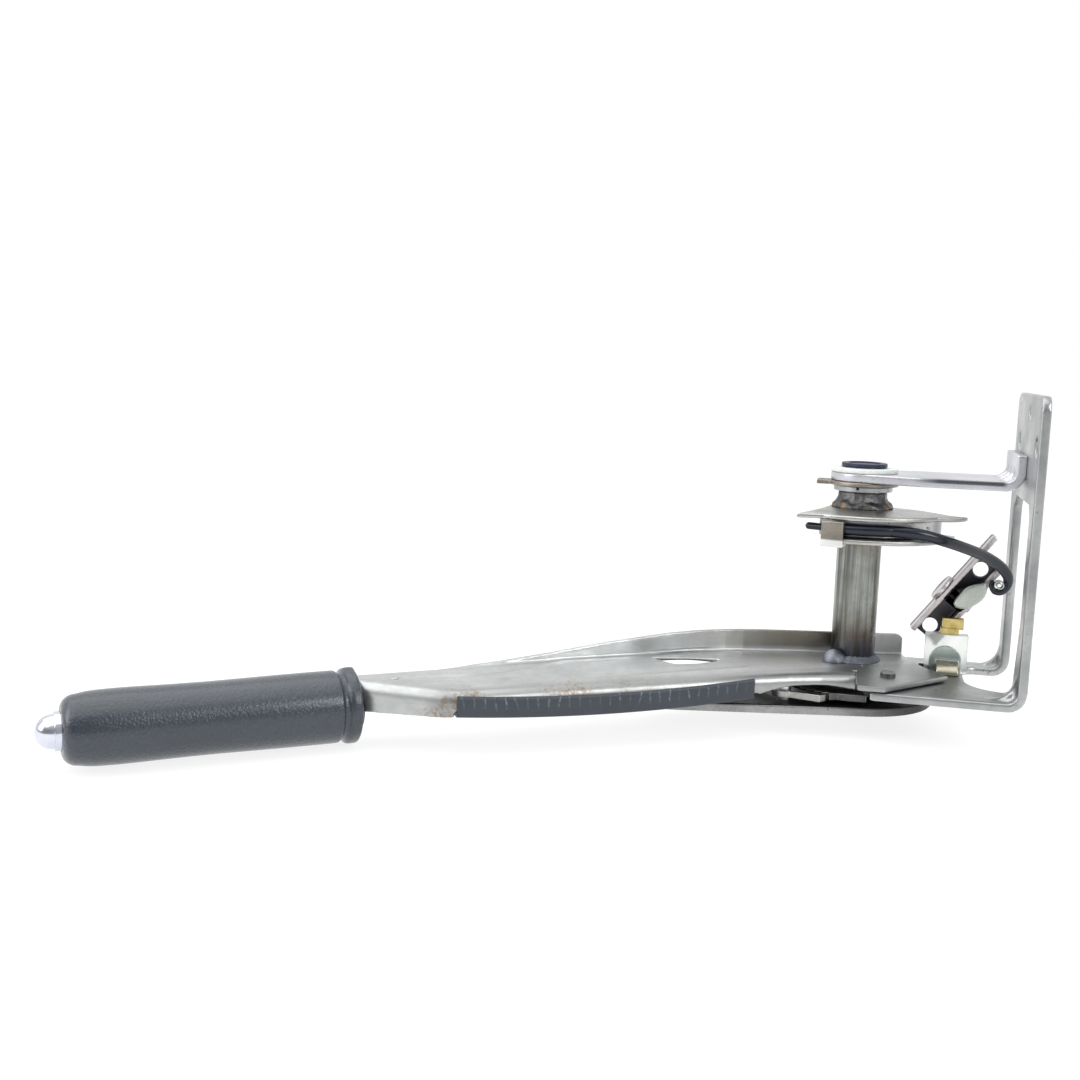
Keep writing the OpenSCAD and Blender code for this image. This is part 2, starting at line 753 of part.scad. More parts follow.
module grip() {
  r = grip_d / 2;
  end_r = 6;
  color("DarkSlateGray") at_grip() rotate([0, -90, 0]) difference() {
    union() {
      rotate_extrude() {
        polygon([[0, 0], [r + 0.4, 0], [r + 1, 0.6], [r + 1, 4.2], [r + 0.4, 5], [r - 0.6, 5.6],
          [r - 0.6, 7.4], [r + 0.2, 8.4], [r + 0.1, 30], [r - 0.3, 60], [r - 0.2, 78], [r, 92],
          [r - 0.2, grip_len - 12], [r - 1, grip_len - end_r], [0, grip_len - end_r]]);
        polygon([[0, grip_len - end_r - 1], [r - 1 - end_r, grip_len - end_r - 1],
          [r - 1 - end_r, grip_len], [0, grip_len]]);
        translate([r - 1 - end_r, grip_len - end_r]) intersection() {
          circle(end_r);
          square(end_r);
        }
      }
    }
    translate([0, 0, -1]) cylinder(d = tang_d + 2 * seat_gap, h = tang_len + 1.3);
    cylinder(d = button_d + 2 * rest_gap, h = grip_len + 1);
  }
}

// Steel tube under the rubber, welded into the neck of the lever
module grip_tang() {
  color("Gray") at_grip() translate([-tang_len, 0, 0]) rotate([0, 90, 0]) difference() {
    cylinder(d = tang_d, h = tang_len + tang_in);
    translate([0, 0, -1]) cylinder(d = tang_d - 2 * tang_wall, h = tang_len + tang_in + 2);
  }
}

module push_button() {
  r = button_d / 2;
  dome_r = r - 0.9;
  color("Gainsboro") at_grip() rotate([0, -90, 0]) translate([0, 0, grip_len]) difference() {
    union() {
      translate([0, 0, -button_in]) cylinder(r = r, h = button_in + button_step);
      cylinder(r = dome_r, h = button_out - dome_r);
      translate([0, 0, button_out - dome_r]) intersection() {
        sphere(dome_r, $fn = 64);
        translate([0, 0, 10]) cube(20, center = true);
      }
    }
    translate([0, 0, -button_in - 1]) cylinder(r = rod_r + seat_gap, h = button_in + 1 - rod_end_in);
  }
}

module push_rod() {
  reach = norm(rod_tip - knee);
  heading = atan2(rod_tip[1] - knee[1], rod_tip[0] - knee[0]);
  color("Gray") {
    at_grip() translate([rod_end_in + seat_gap - grip_len, 0, 0]) rotate([0, 90, 0])
      cylinder(r = rod_r, h = grip_len - rod_end_in - seat_gap + rod_knee);
    at_pivot() translate([knee[0], knee[1], -grip_drop]) {
      sphere(rod_r * 1.2);
      rotate([0, 90, heading]) cylinder(r = rod_r, h = reach);
    }
  }
}

module pawl() {
  tail_dir = (pawl_tail - pawl_pin) / norm(pawl_tail - pawl_pin);
  tail_side = 2.5 * [-tail_dir[1], tail_dir[0]];
  nose_r = ratchet_r + rest_gap + 0.1;
  color("DarkSlateGray") at_pivot() difference() {
    union() {
      translate([pawl_pin[0], pawl_pin[1], ratchet_z]) cylinder(r = pawl_hub_r, h = ratchet_t);
      translate([pawl_tail[0], pawl_tail[1], ratchet_z]) cylinder(r = 2.6, h = ratchet_t);
      slab(ratchet_z, ratchet_t)
        polygon([pawl_pin + tail_side, pawl_tail + tail_side, pawl_tail - tail_side, pawl_pin - tail_side]);
      slab(ratchet_z, ratchet_t)
        polygon([pawl_pin + polar(pawl_hub_r - 1, 40), polar(nose_r + 2.6, first_tooth - 8.6),
          polar(nose_r + 0.8, first_tooth - 3), polar(nose_r, first_tooth - 0.7),
          polar(nose_r + 2.4, first_tooth - 0.7), polar(nose_r + 5.6, first_tooth - 3),
          pawl_pin + polar(pawl_hub_r - 1, -80), pawl_pin]);
    }
    translate([pawl_pin[0], pawl_pin[1], ratchet_z - 1])
      cylinder(d = pawl_pin_d + 2 * run_gap, h = ratchet_t + 2);
  }
}

module pawl_pin_post() {
  color("Gray") at_pivot() translate([pawl_pin[0], pawl_pin[1], lower_top])
    cylinder(d = pawl_pin_d, h = -web_t - lower_top);
}

// Outline of the sector's plates: a round front between a tab on the left and a lug on the right
module sector_outline(tab, lug) {
  from = atan2(tab[1], tab[0]);
  to = atan2(lug[1], lug[0]);
  intersection() {
    circle(sector_r);
    polygon([[0, 0], polar(80, from), polar(80, (from + to) / 2), polar(80, to)]);
  }
  circle(sector_boss_r);
  polygon([polar(sector_boss_r - 1, 160), tab / 2 + [-6.5, 0.4], tab, polar(sector_r - 1, from + 14),
    [0, -8], polar(sector_r - 1, to - 14), lug, lug / 2 + [5, 10.5], polar(sector_boss_r - 1, 50)]);
}

module sector_upper_plate() {
  color("LightGray") at_pivot() difference() {
    slab(sector_top - sector_t, sector_t) sector_outline(upper_tab, upper_lug);
    translate([0, 0, sector_top - sector_t - 1]) cylinder(r = tube_r + seat_gap, h = sector_t + 2);
  }
}

module sector_lower_plate() {
  color("LightGray") at_pivot() difference() {
    slab(sector_bottom, sector_t) sector_outline(lower_tab, lower_lug);
    translate([0, 0, sector_bottom - 1]) cylinder(r = tube_r + seat_gap, h = sector_t + 2);
  }
}

module sector_hub() {
  color("LightGray") at_pivot() slab(sector_bottom + sector_t, sector_h - 2 * sector_t) difference() {
    union() {
      intersection() {
        circle(groove_r);
        polygon([[0, 10], polar(60, -118), polar(80, -90), polar(80, -50), polar(60, -20), [28, 2]]);
      }
      circle(sector_boss_r - 1);
    }
    circle(tube_r + seat_gap);
  }
}

// The band that holds the end of the cable on the sector
module cable_clip() {
  cable_out = wrap_r + cable_r;
  reach = max(sector_r, cable_out) + clip_gap;
  foot_z = sector_bottom - clip_gap - clip_lip_t;
  color("Gray") at_pivot() rotate([0, 0, clip_to]) rotate_extrude(angle = -clip_sweep) {
    translate([reach, foot_z]) square([clip_band_t, sector_h - 1]);
    translate([reach - clip_lip, foot_z]) square([clip_lip + 1, clip_lip_t]);
    translate([cable_out + clip_gap, cable_z - clip_pad / 2]) square([reach + 1 - cable_out, clip_pad]);
  }
}

module cable_tail() {
  at = polar(wrap_r, wrap_from - 1);
  color("Black") at_pivot() translate([at[0], at[1], cable_z]) rotate([0, 0, wrap_from - 90])
    rotate([0, 90, 0]) {
      cylinder(r = 1.6, h = 8);
      translate([0, 0, 8]) sphere(1.6);
    }
}

module cable_wrap() {
  color("Black") at_pivot() translate([0, 0, cable_z]) rotate([0, 0, wrap_from])
    rotate_extrude(angle = wrap_to - wrap_from, $fn = 120) translate([wrap_r, 0]) circle(cable_r);
}

// A round cord along a list of points: one ring per point, each ring square to the way there
function ring(points, k) =
  let (ahead = points[min(k + 1, len(points) - 1)] - points[max(k - 1, 0)],
    way = ahead / norm(ahead),
    side = cross(way, [0, 1, 0]) / norm(cross(way, [0, 1, 0])),
    up = cross(side, way))
  [for (i = [0 : cable_sides - 1]) let (a = 360 * i / cable_sides)
    points[k] + cable_r * (cos(a) * side + sin(a) * up)];

module cord(points) {
  n = len(points);
  m = cable_sides;
  verts = [for (k = [0 : n - 1]) each ring(points, k)];
  sides = [for (k = [0 : n - 2]) for (i = [0 : m - 1])
    [k * m + i, k * m + (i + 1) % m, (k + 1) * m + (i + 1) % m, (k + 1) * m + i]];
  start = [[for (i = [0 : m - 1]) m - 1 - i]];
  finish = [[for (i = [0 : m - 1]) (n - 1) * m + i]];
  polyhedron(points = verts, faces = concat(sides, start, finish), convexity = 6);
}

module cable_run() {
  start = polar(wrap_r, wrap_to + wrap_break);
  color("Black") at_pivot() cord(concat([[start[0], start[1], cable_z]], run_points));
}

// Bar frame: x along the bar, y across it in the picture, z towards the viewer from the back of the web
module at_bar() {
  at_pivot() translate(bar_at) rotate([0, -bar_angle, 0]) rotate([90, 0, 0]) children();
}

module equaliser_bar() {
  web_end = bar_span / 2 + bar_hole_d / 2 + 1.6;
  color("Thistle") at_bar() difference() {
    translate([-bar_low, -bar_w / 2, 0]) cube([bar_len, bar_w, bar_depth]);
    translate([-bar_low - 1, -bar_w / 2 + bar_wall, bar_wall])
      cube([bar_len + 2, bar_w - 2 * bar_wall, bar_depth]);
    // only the left wall runs on past the holes
    for (x = [-web_end - bar_len, web_end]) translate([x, -bar_w / 2 - 1, -1])
      cube([bar_len, bar_w + 1 - bar_wall, bar_depth + 2]);
    for (s = [-1, 1]) translate([s * bar_span / 2, 0, -1]) cylinder(d = bar_hole_d, h = bar_wall + 2);
    translate([0, bar_w / 2 + 1, pin_up]) rotate([90, 0, 0])
      cylinder(d = bar_pin_d + 2 * run_gap, h = bar_w + 2);
  }
}

module equaliser_pin() {
  color("Thistle") at_bar() translate([0, bar_w / 2, pin_up]) rotate([90, 0, 0]) {
    translate([0, 0, -bar_head_t - rest_gap]) cylinder(r = bar_head_r, h = bar_head_t);
    translate([0, 0, -rest_gap - 0.5]) cylinder(d = bar_pin_d, h = bar_w + 1.8);
  }
}

module equaliser_clevis() {
  inner = bar_w - 2 * bar_wall - 2 * rest_gap;
  lug_r = pin_up - bar_wall - rest_gap;
  face_y = bar_at[1] - bar_depth - tilt_gap;
  color("DarkSeaGreen") {
    at_bar() difference() {
      union() {
        translate([0, inner / 2, pin_up]) rotate([90, 0, 0]) cylinder(r = lug_r, h = inner);
        translate([-lug_r, -inner / 2, pin_up])
          cube([2 * lug_r, inner, bar_depth + tilt_gap + clevis_t / 2 - pin_up]);
      }
      translate([0, bar_w / 2 + 1, pin_up]) rotate([90, 0, 0])
        cylinder(d = bar_pin_d + 2 * seat_gap, h = bar_w + 2);
    }
    at_pivot() across(face_y - clevis_t, face_y) translate([bar_at[0], bar_at[2]]) polygon(clevis_points);
  }
}

bracket_plate();
top_arm();
upper_bush();
bush_collar();
bush_keeper();
lower_bush();
ratchet_sector();
switch_body();
switch_clip();
switch_terminal();
switch_plunger();
lever_upper_plate();
lever_lower_plate();
lever_column();
pivot_tube();
tube_plug();
foot_weld();
sector_weld();
web_screw();
edge_trim();
grip();
grip_tang();
push_button();
push_rod();
pawl();
pawl_pin_post();
sector_upper_plate();
sector_lower_plate();
sector_hub();
cable_clip();
cable_tail();
cable_wrap();
cable_run();
equaliser_bar();
equaliser_pin();
equaliser_clevis();
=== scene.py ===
# %% [markdown]
# This lesson dresses a parking brake lever: a rubber grip on a pressed steel lever that turns on a tube
# between the two arms of a folded bracket. The construction program made every solid at its true size,
# so Blender only has to give them skin: soft pressed edges, rubber grain, weld beads, plating and wear.
# Loading the imported part first fixes the frame, and its box is kept to place the lamps and the floor.

# %% Load the imported part
import json
import math

import bmesh
import bpy
from mathutils import Matrix, Vector, noise


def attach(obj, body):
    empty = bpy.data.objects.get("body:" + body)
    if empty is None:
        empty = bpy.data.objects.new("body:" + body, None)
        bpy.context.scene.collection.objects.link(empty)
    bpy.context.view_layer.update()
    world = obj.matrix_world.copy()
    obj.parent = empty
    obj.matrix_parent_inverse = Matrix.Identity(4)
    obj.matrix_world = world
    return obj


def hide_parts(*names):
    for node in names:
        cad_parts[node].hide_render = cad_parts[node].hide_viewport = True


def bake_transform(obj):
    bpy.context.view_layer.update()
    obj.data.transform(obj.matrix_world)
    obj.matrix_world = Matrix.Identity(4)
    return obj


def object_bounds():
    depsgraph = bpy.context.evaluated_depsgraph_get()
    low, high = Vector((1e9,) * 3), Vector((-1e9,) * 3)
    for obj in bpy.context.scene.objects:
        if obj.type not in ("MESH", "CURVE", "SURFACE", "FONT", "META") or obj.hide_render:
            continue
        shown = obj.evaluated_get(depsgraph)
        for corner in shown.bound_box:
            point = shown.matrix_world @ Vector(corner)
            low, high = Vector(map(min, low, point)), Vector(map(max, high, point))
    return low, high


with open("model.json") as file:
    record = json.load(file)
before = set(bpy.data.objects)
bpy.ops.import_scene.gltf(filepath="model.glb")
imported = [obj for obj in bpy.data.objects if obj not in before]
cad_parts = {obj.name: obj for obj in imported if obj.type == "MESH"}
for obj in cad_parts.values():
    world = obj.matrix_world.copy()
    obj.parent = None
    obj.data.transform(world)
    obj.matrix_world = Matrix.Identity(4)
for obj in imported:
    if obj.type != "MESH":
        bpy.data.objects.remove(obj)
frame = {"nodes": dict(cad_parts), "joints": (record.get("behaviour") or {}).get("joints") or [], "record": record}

nodes = frame["nodes"]
cad_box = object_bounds()
print(f"{len(nodes)} solids, box from {list(cad_box[0])} to {list(cad_box[1])}")

# %% [markdown]
# A mechanic measures this lever from its pivot: along the shaft, and out to each hole and edge.
# The frame's own origin lies on the mounting flange, so one helper turns millimetres from the pivot into
# the frame's metres. The pivot is read from the joint, and is never typed in a second time.

# %% Measure from the pivot
joints = {joint["name"]: joint for joint in frame["joints"]}
pivot = Vector(joints["lever_pull"]["pos_m"])


def from_pivot(x, y, z):
    """A point given in millimetres from the pivot, in metres in the frame."""
    return pivot + Vector((x, y, z)) / 1000


print("pivot at", [round(v, 4) for v in pivot])

# %% [markdown]
# The photograph was taken a little above the lever and almost square to its long side, with the horizon
# tipped by under two degrees. The camera could be placed with angles, but three directions (forward, right
# and up) make the same turn easier to read, and the small roll is then one mix of right and up.

# %% Camera
EYE = from_pivot(-6.8, -617.1, 136.7)
FORWARD = Vector((-0.2277, 0.9635, -0.1409)).normalized()
ROLL = math.radians(1.8)
LENS = 43.33
SENSOR = 36

level_right = FORWARD.cross(Vector((0, 0, 1))).normalized()
level_up = level_right.cross(FORWARD)
right = level_right * math.cos(ROLL) + level_up * math.sin(ROLL)
up = level_up * math.cos(ROLL) - level_right * math.sin(ROLL)
camera = bpy.data.objects.new("camera", bpy.data.cameras.new("camera"))
camera.data.sensor_width = SENSOR
camera.data.lens = LENS
camera.data.clip_start = 0.01
facing = Matrix((right, up, -FORWARD)).transposed().to_4x4()
camera.matrix_world = Matrix.Translation(EYE) @ facing
bpy.context.scene.collection.objects.link(camera)
bpy.context.scene.camera = camera
print("camera", [round(v, 3) for v in camera.location], "lens", camera.data.lens)

# %% [markdown]
# Materials are graphs of nodes. One small function adds a node, sets it and links it, so each finish below
# reads as a list of what feeds what. Colours are written as they look on a screen, in hex, and one function
# turns them to the linear values that light is added up in. A third starts a material with an empty graph,
# because the shader that a new material comes with isn't used.

# %% Colour and node helpers
def linear(hex_colour):
    """Screen colour in hex to linear red, green, blue and alpha."""
    channels = [int(hex_colour[i:i + 2], 16) / 255 for i in (1, 3, 5)]
    return tuple(c / 12.92 if c <= 0.04045 else ((c + 0.055) / 1.055) ** 2.4 for c in channels) + (1.0,)


def add(tree, kind, sockets=None, **settings):
    """Add one node: sockets take a value or a link from another node's output."""
    made = tree.nodes.new(kind)
    for key, value in settings.items():
        setattr(made, key, value)
    for key, value in (sockets or {}).items():
        if isinstance(value, bpy.types.NodeSocket):
            tree.links.new(value, made.inputs[key])
        else:
            made.inputs[key].default_value = value
    return made


def blank(name):
    """A new material with an empty graph, and that graph."""
    material = bpy.data.materials.new(name)
    material.use_nodes = True
    material.node_tree.nodes.clear()
    return material, material.node_tree


print("mid grey", [round(v, 3) for v in linear("#808080")])

# %% [markdown]
# The lever was photographed in a white tent: white behind and below, a broad soft light above, and a dimmer
# room behind the camera that steel shows as its darker greys. A world that goes from white above and behind
# to grey in front gives the same, and the camera itself sees plain white. Three soft boxes do the rest: a
# broad one above, a small one on the left that lights the button and the grip's end, and a small one on the
# right, whose reflection draws the grained streak along the grip.

# %% Studio light
world = bpy.data.worlds.new("white_tent")
bpy.context.scene.world = world
world.use_nodes = True
tree = world.node_tree
tree.nodes.clear()
direction = add(tree, "ShaderNodeTexCoord").outputs["Generated"]
split = add(tree, "ShaderNodeSeparateXYZ", {0: direction})
behind = add(tree, "ShaderNodeMapRange", {"Value": split.outputs["Y"], "From Min": -0.9, "From Max": 0.3,
                                          "To Min": 0.3, "To Max": 1.0})
above = add(tree, "ShaderNodeMapRange", {"Value": split.outputs["Z"], "From Min": 0.1, "From Max": 0.7,
                                         "To Min": 0.0, "To Max": 0.6})
tent = add(tree, "ShaderNodeMath", {0: behind.outputs[0], 1: above.outputs[0]}, operation="MAXIMUM")
path = add(tree, "ShaderNodeLightPath")
seen = add(tree, "ShaderNodeMath",
           {0: path.outputs["Is Camera Ray"], 1: path.outputs["Is Transmission Ray"]}, operation="MAXIMUM")
level = add(tree, "ShaderNodeMath", {0: tent.outputs[0], 1: seen.outputs[0]}, operation="MAXIMUM")
sky = add(tree, "ShaderNodeBackground", {"Color": linear("#ffffff"), "Strength": level.outputs[0]})
add(tree, "ShaderNodeOutputWorld", {"Surface": sky.outputs[0]})

view = bpy.context.scene.view_settings
view.view_transform = "Standard"


def soft_light(name, place, target, size, power):
    """A square soft box at a place, turned to look at a target."""
    lamp = bpy.data.objects.new(name, bpy.data.lights.new(name, "AREA"))
    lamp.data.size = size
    lamp.data.energy = power
    lamp.location = place
    lamp.rotation_euler = (target - place).to_track_quat("-Z", "Y").to_euler()
    bpy.context.scene.collection.objects.link(lamp)
    return lamp


middle = (cad_box[0] + cad_box[1]) / 2
LAMPS = [
    # name, place and target from the middle of the lever, and size, all in metres, and power in watts
    ("soft_box_above", (-0.25, -0.15, 0.9), (0, 0, 0), 1.4, 7.5),
    ("soft_box_left", (-0.8, -0.5, 0.35), (0, 0, 0), 0.5, 2.5),
    ("soft_box_right", (0.82, -0.455, 0.51), (-0.15, -0.1, 0), 0.42, 3),
]
for name, place, target, size, power in LAMPS:
    soft_light(name, middle + Vector(place), middle + Vector(target), size, power)

# %% [markdown]
# The lever lies on a pale table. Its floor takes the soft shadow, and for the camera and for what metal and
# clear plastic show of it, a little plain glow lifts the paper to white, so no extra light falls on the
# lever.

# %% Floor
FLOOR_HALF = 6.0
FLOOR_GAP = 0.0005

paper, tree = blank("white_paper")
path = add(tree, "ShaderNodeLightPath")
sheet = add(tree, "ShaderNodeBsdfDiffuse", {"Color": linear("#f4f4f4")})
lit = add(tree, "ShaderNodeBsdfDiffuse", {"Color": linear("#8c8c8c")})
glow = add(tree, "ShaderNodeEmission", {"Color": linear("#ffffff"), "Strength": 0.82})
lifted = add(tree, "ShaderNodeAddShader", {0: lit.outputs[0], 1: glow.outputs[0]})
looked = add(tree, "ShaderNodeMath", {0: path.outputs["Is Camera Ray"], 1: path.outputs["Is Glossy Ray"]},
             operation="MAXIMUM")
seen = add(tree, "ShaderNodeMath", {0: looked.outputs[0], 1: path.outputs["Is Transmission Ray"]},
           operation="MAXIMUM")
shown = add(tree, "ShaderNodeMixShader", {0: seen.outputs[0], 1: sheet.outputs[0], 2: lifted.outputs[0]})
add(tree, "ShaderNodeOutputMaterial", {"Surface": shown.outputs[0]})

floor_mesh = bpy.data.meshes.new("floor")
grid = bmesh.new()
bmesh.ops.create_grid(grid, x_segments=8, y_segments=8, size=FLOOR_HALF)
grid.to_mesh(floor_mesh)
grid.free()
floor = bpy.data.objects.new("floor", floor_mesh)
floor.location = (middle.x, middle.y, cad_box[0].z - FLOOR_GAP)
floor_mesh.materials.append(paper)
bpy.context.scene.collection.objects.link(floor)
print("floor at", round(floor.location.z, 4))

# %% [markdown]
# Most of the lever is steel sheet in different states: zinc plated, bare and oiled, drawn into tube. All of
# them show the same few things, so one recipe makes them: cloudy patches of lighter and darker metal,
# stretched draw marks, small stains, soft edges with a painted highlight, and a slightly uneven surface.
# Clouds are about 25 mm wide, stains about 2 mm, and draw marks about 0.7 mm. On dense meshes the recipe can
# also paint a highlight on convex edges.

# %% Steel recipe
def steel(name, light, dark, stain, stained, rough, marks=(1, 1, 1), edge_mm=0.5, grain=0.45, glint=0.55,
          convex=False):
    """A sheet metal finish; returns the material and the sockets that later finishes build on."""
    material, tree = blank(name)
    coords = add(tree, "ShaderNodeTexCoord").outputs["Object"]
    clouds = add(tree, "ShaderNodeTexNoise",
                 {"Vector": coords, "Scale": 1 / 0.025, "Detail": 5, "Roughness": 0.6})
    stretched = add(tree, "ShaderNodeMapping", {"Vector": coords, "Scale": marks})
    draw = add(tree, "ShaderNodeTexNoise",
               {"Vector": stretched.outputs[0], "Scale": 1 / 0.0007, "Detail": 3})
    mixed = add(tree, "ShaderNodeMath", {0: draw.outputs[0], 1: grain, 2: clouds.outputs[0]},
                operation="MULTIPLY_ADD")
    tone = add(tree, "ShaderNodeMapRange", {"Value": mixed.outputs[0], "From Min": 0.33 + grain / 2,
                                            "From Max": 0.73 + grain / 2})
    sheet = add(tree, "ShaderNodeMix", {0: tone.outputs[0], 6: linear(dark), 7: linear(light)},
                data_type="RGBA")
    spots = add(tree, "ShaderNodeTexNoise",
                {"Vector": coords, "Scale": 1 / 0.002, "Detail": 6, "Roughness": 0.7})
    lean = add(tree, "ShaderNodeMath", {0: clouds.outputs[0], 1: 0.5, 2: spots.outputs[0]},
               operation="MULTIPLY_ADD")
    dirt = add(tree, "ShaderNodeMapRange",
               {"Value": lean.outputs[0], "From Min": 0.86, "From Max": 1.0, "To Max": stained})
    dirty = add(tree, "ShaderNodeMix", {0: dirt.outputs[0], 6: sheet.outputs[2], 7: linear(stain)},
                data_type="RGBA")
    soft = add(tree, "ShaderNodeBevel", {"Radius": edge_mm / 1000}, samples=6)
    flat = add(tree, "ShaderNodeNewGeometry").outputs["Normal"]
    bent = add(tree, "ShaderNodeVectorMath", {0: soft.outputs[0], 1: flat}, operation="DOT_PRODUCT")
    # Edges, and on dense meshes convex crests, get a painted highlight: the colour goes towards near white there,
    # by up to glint.
    rim = add(tree, "ShaderNodeMapRange",
              {"Value": bent.outputs["Value"], "From Min": 0.97, "From Max": 0.86, "To Max": glint})
    if convex:
        bulge = add(tree, "ShaderNodeNewGeometry").outputs["Pointiness"]
        crest = add(tree, "ShaderNodeMapRange",
                    {"Value": bulge, "From Min": 0.53, "From Max": 0.62, "To Max": glint})
        rim = add(tree, "ShaderNodeMath", {0: rim.outputs[0], 1: crest.outputs[0]}, operation="MAXIMUM")
    wear_and_edge_glint = add(tree, "ShaderNodeMix", {0: rim.outputs[0], 6: dirty.outputs[2], 7: linear("#eceef0")},
               data_type="RGBA")
    gloss = add(tree, "ShaderNodeMapRange",
                {"Value": tone.outputs[0], "To Min": rough + 0.1, "To Max": rough - 0.05})
    dull = add(tree, "ShaderNodeMath", {0: dirt.outputs[0], 1: 0.3, 2: gloss.outputs[0]},
               operation="MULTIPLY_ADD")
    relief = add(tree, "ShaderNodeBump",
                 {"Height": mixed.outputs[0], "Strength": 0.12, "Distance": 0.0002,
                  "Normal": soft.outputs[0]})
    shader = add(tree, "ShaderNodeBsdfPrincipled",
                 {"Base Color": wear_and_edge_glint.outputs[2], "Metallic": 1.0, "Roughness": dull.outputs[0],
                  "Normal": relief.outputs[0]})
    add(tree, "ShaderNodeOutputMaterial", {"Surface": shader.outputs[0]})
    return material, {"tree": tree, "coords": coords, "shader": shader, "colour": wear_and_edge_glint.outputs[2]}


# Electroplated zinc on folded plate: pale, faintly blue, dulled in patches by dirt.
zinc_plate, _ = steel("zinc_plated_folded_steel", "#c3c5c5", "#969899", "#4e483f", 0.9, 0.31, grain=0.12,
                      glint=0.6, convex=True)
print("first steel", zinc_plate.name, "with", len(zinc_plate.node_tree.nodes), "nodes")

# %% [markdown]
# Dirt and wear lie where a piece is touched: in a greased channel, on a scraped lip, along a sheared edge.
# They could be painted on an image, but a place and a colour say it in fewer words and stay sharp from
# close by. One function gives a share that rises along an axis between two places, in millimetres from the
# pivot, and the other lays a colour over a finish by such a share.

# %% Wear by place
def zone(made, axis, start, full, top=1.0):
    """A share that goes from 0 at start to top at full along an axis, in millimetres from the pivot."""
    tree, origin = made["tree"], pivot["XYZ".index(axis)]
    place = add(tree, "ShaderNodeSeparateXYZ", {0: made["coords"]})
    share = add(tree, "ShaderNodeMapRange",
                {"Value": place.outputs[axis], "From Min": origin + start / 1000,
                 "From Max": origin + full / 1000, "To Max": top})
    return share.outputs[0]


def tint(made, share, colour):
    """Lay a colour over what a finish shows so far, by a share from 0 to 1."""
    over = add(made["tree"], "ShaderNodeMix", {0: share, 6: made["colour"], 7: colour}, data_type="RGBA")
    made["colour"] = over.outputs[2]
    made["tree"].links.new(made["colour"], made["shader"].inputs["Base Color"])


print("helpers", zone.__name__, tint.__name__)

# %% [markdown]
# The small fittings are plated, hardened or plain strip. Each finish is one call of the recipe, because
# they differ only in colour, gloss and grain, and some go on to colour a part of the piece by its place.

# %% Fittings in plated and hardened steel
# The equaliser's zinc has a warmer passivation, which reads as a pinkish grey. Painted shade darkens the
# inside of its channel, from about 11 mm behind the shaft's axis on.
pale_zinc, made = steel("pale_passivated_zinc", "#e2dcdd", "#cac4c6", "#857c79", 0.4, 0.38)
tint(made, zone(made, "Y", 10.5, 13.5, top=0.92), linear("#33343c"))
# The clevis has the same zinc with a green cast, and its lug inside the equaliser is dark grey with painted shade.
green_zinc, _ = steel("green_passivated_zinc", "#d6dbd4", "#bac1b8", "#7d7f76", 0.4, 0.4)
lug_steel_painted_shade, _ = steel("lug_steel_painted_shade", "#3d3e46", "#2b2c32", "#222227", 0.5, 0.4)
# The ratchet, the column and the web's screw are case hardened and oiled, a dark even grey.
hard_steel, _ = steel("case_hardened_oiled_steel", "#7b7a79", "#5a5958", "#3c3733", 0.5, 0.4)
# The pawl is a lighter copy of the hardened steel, painted light, with a strong painted highlight on its edges.
tooth_steel, _ = steel("hardened_steel_painted_light", "#b9b8b4", "#8a8986", "#4a4640", 0.5, 0.32, grain=0.2,
                       glint=0.95)
# The keeper under the top bush is plain strip, browned by handling.
strip_steel, _ = steel("browned_steel_strip", "#a9a39a", "#857e75", "#5b4a3a", 0.6, 0.34, grain=0.2)
# The cable clip is such strip too. Its bent lip, over 4 mm below the cable's middle, gets a painted highlight.
clip_steel, made = steel("steel_strip_painted_lip_highlight", "#a9a39a", "#7f7970", "#5b4a3a", 0.6, 0.32, grain=0.2)
tint(made, zone(made, "Z", 61.3, 60.5), linear("#e9e9e8"))
print("fittings", [m.name for m in (pale_zinc, green_zinc, lug_steel_painted_shade, hard_steel, tooth_steel,
                                    strip_steel, clip_steel)])

# %% [markdown]
# Three plated pieces are coloured in one place each: painted shade along the arm's near edge, a saw cut in
# the collar and a bent tongue on the switch's clip. The cut and the tongue are a fraction of a millimetre
# deep, so colour alone shows them. Each has a share that is a product of zones, one for every side that it
# stops at.

# %% Plated fittings with a cut or a bent tongue
# Painted shade darkens the upper 1.8 mm of the arm's near edge, from 20 to 61 mm past the shaft's axis;
# its lower part keeps the plate's colour.
arm_zinc, made = steel("zinc_plated_steel_painted_edge_shade", "#dcdde2", "#bfc0c6", "#77726c", 0.6, 0.3, grain=0.12,
                       glint=0.8, convex=True)
tree = made["tree"]
corner = add(tree, "ShaderNodeMath", {0: zone(made, "Z", 85.9, 86.4), 1: zone(made, "Y", -19.8, -20.4)},
             operation="MULTIPLY")
span = add(tree, "ShaderNodeMath", {0: zone(made, "X", 20, 32, top=0.85), 1: zone(made, "X", 61, 59)},
           operation="MULTIPLY")
painted_edge_shade = add(tree, "ShaderNodeMath", {0: corner.outputs[0], 1: span.outputs[0]}, operation="MULTIPLY")
tint(made, painted_edge_shade.outputs[0], linear("#3b3e4a"))
# The collar is notched: a dark saw cut, 1.3 mm wide, shows in its upper half.
collar_zinc, made = steel("zinc_plated_split_collar", "#bdc0c1", "#9ea2a5", "#7d7f80", 0.4, 0.33,
                          grain=0.12)
tree = made["tree"]
cut = add(tree, "ShaderNodeMath", {0: zone(made, "X", -3.3, -3.0), 1: zone(made, "X", -1.7, -2.0)},
          operation="MULTIPLY")
sawn = add(tree, "ShaderNodeMath", {0: cut.outputs[0], 1: zone(made, "Z", 80.2, 80.6)},
           operation="MULTIPLY")
tint(made, sawn.outputs[0], linear("#26262a"))
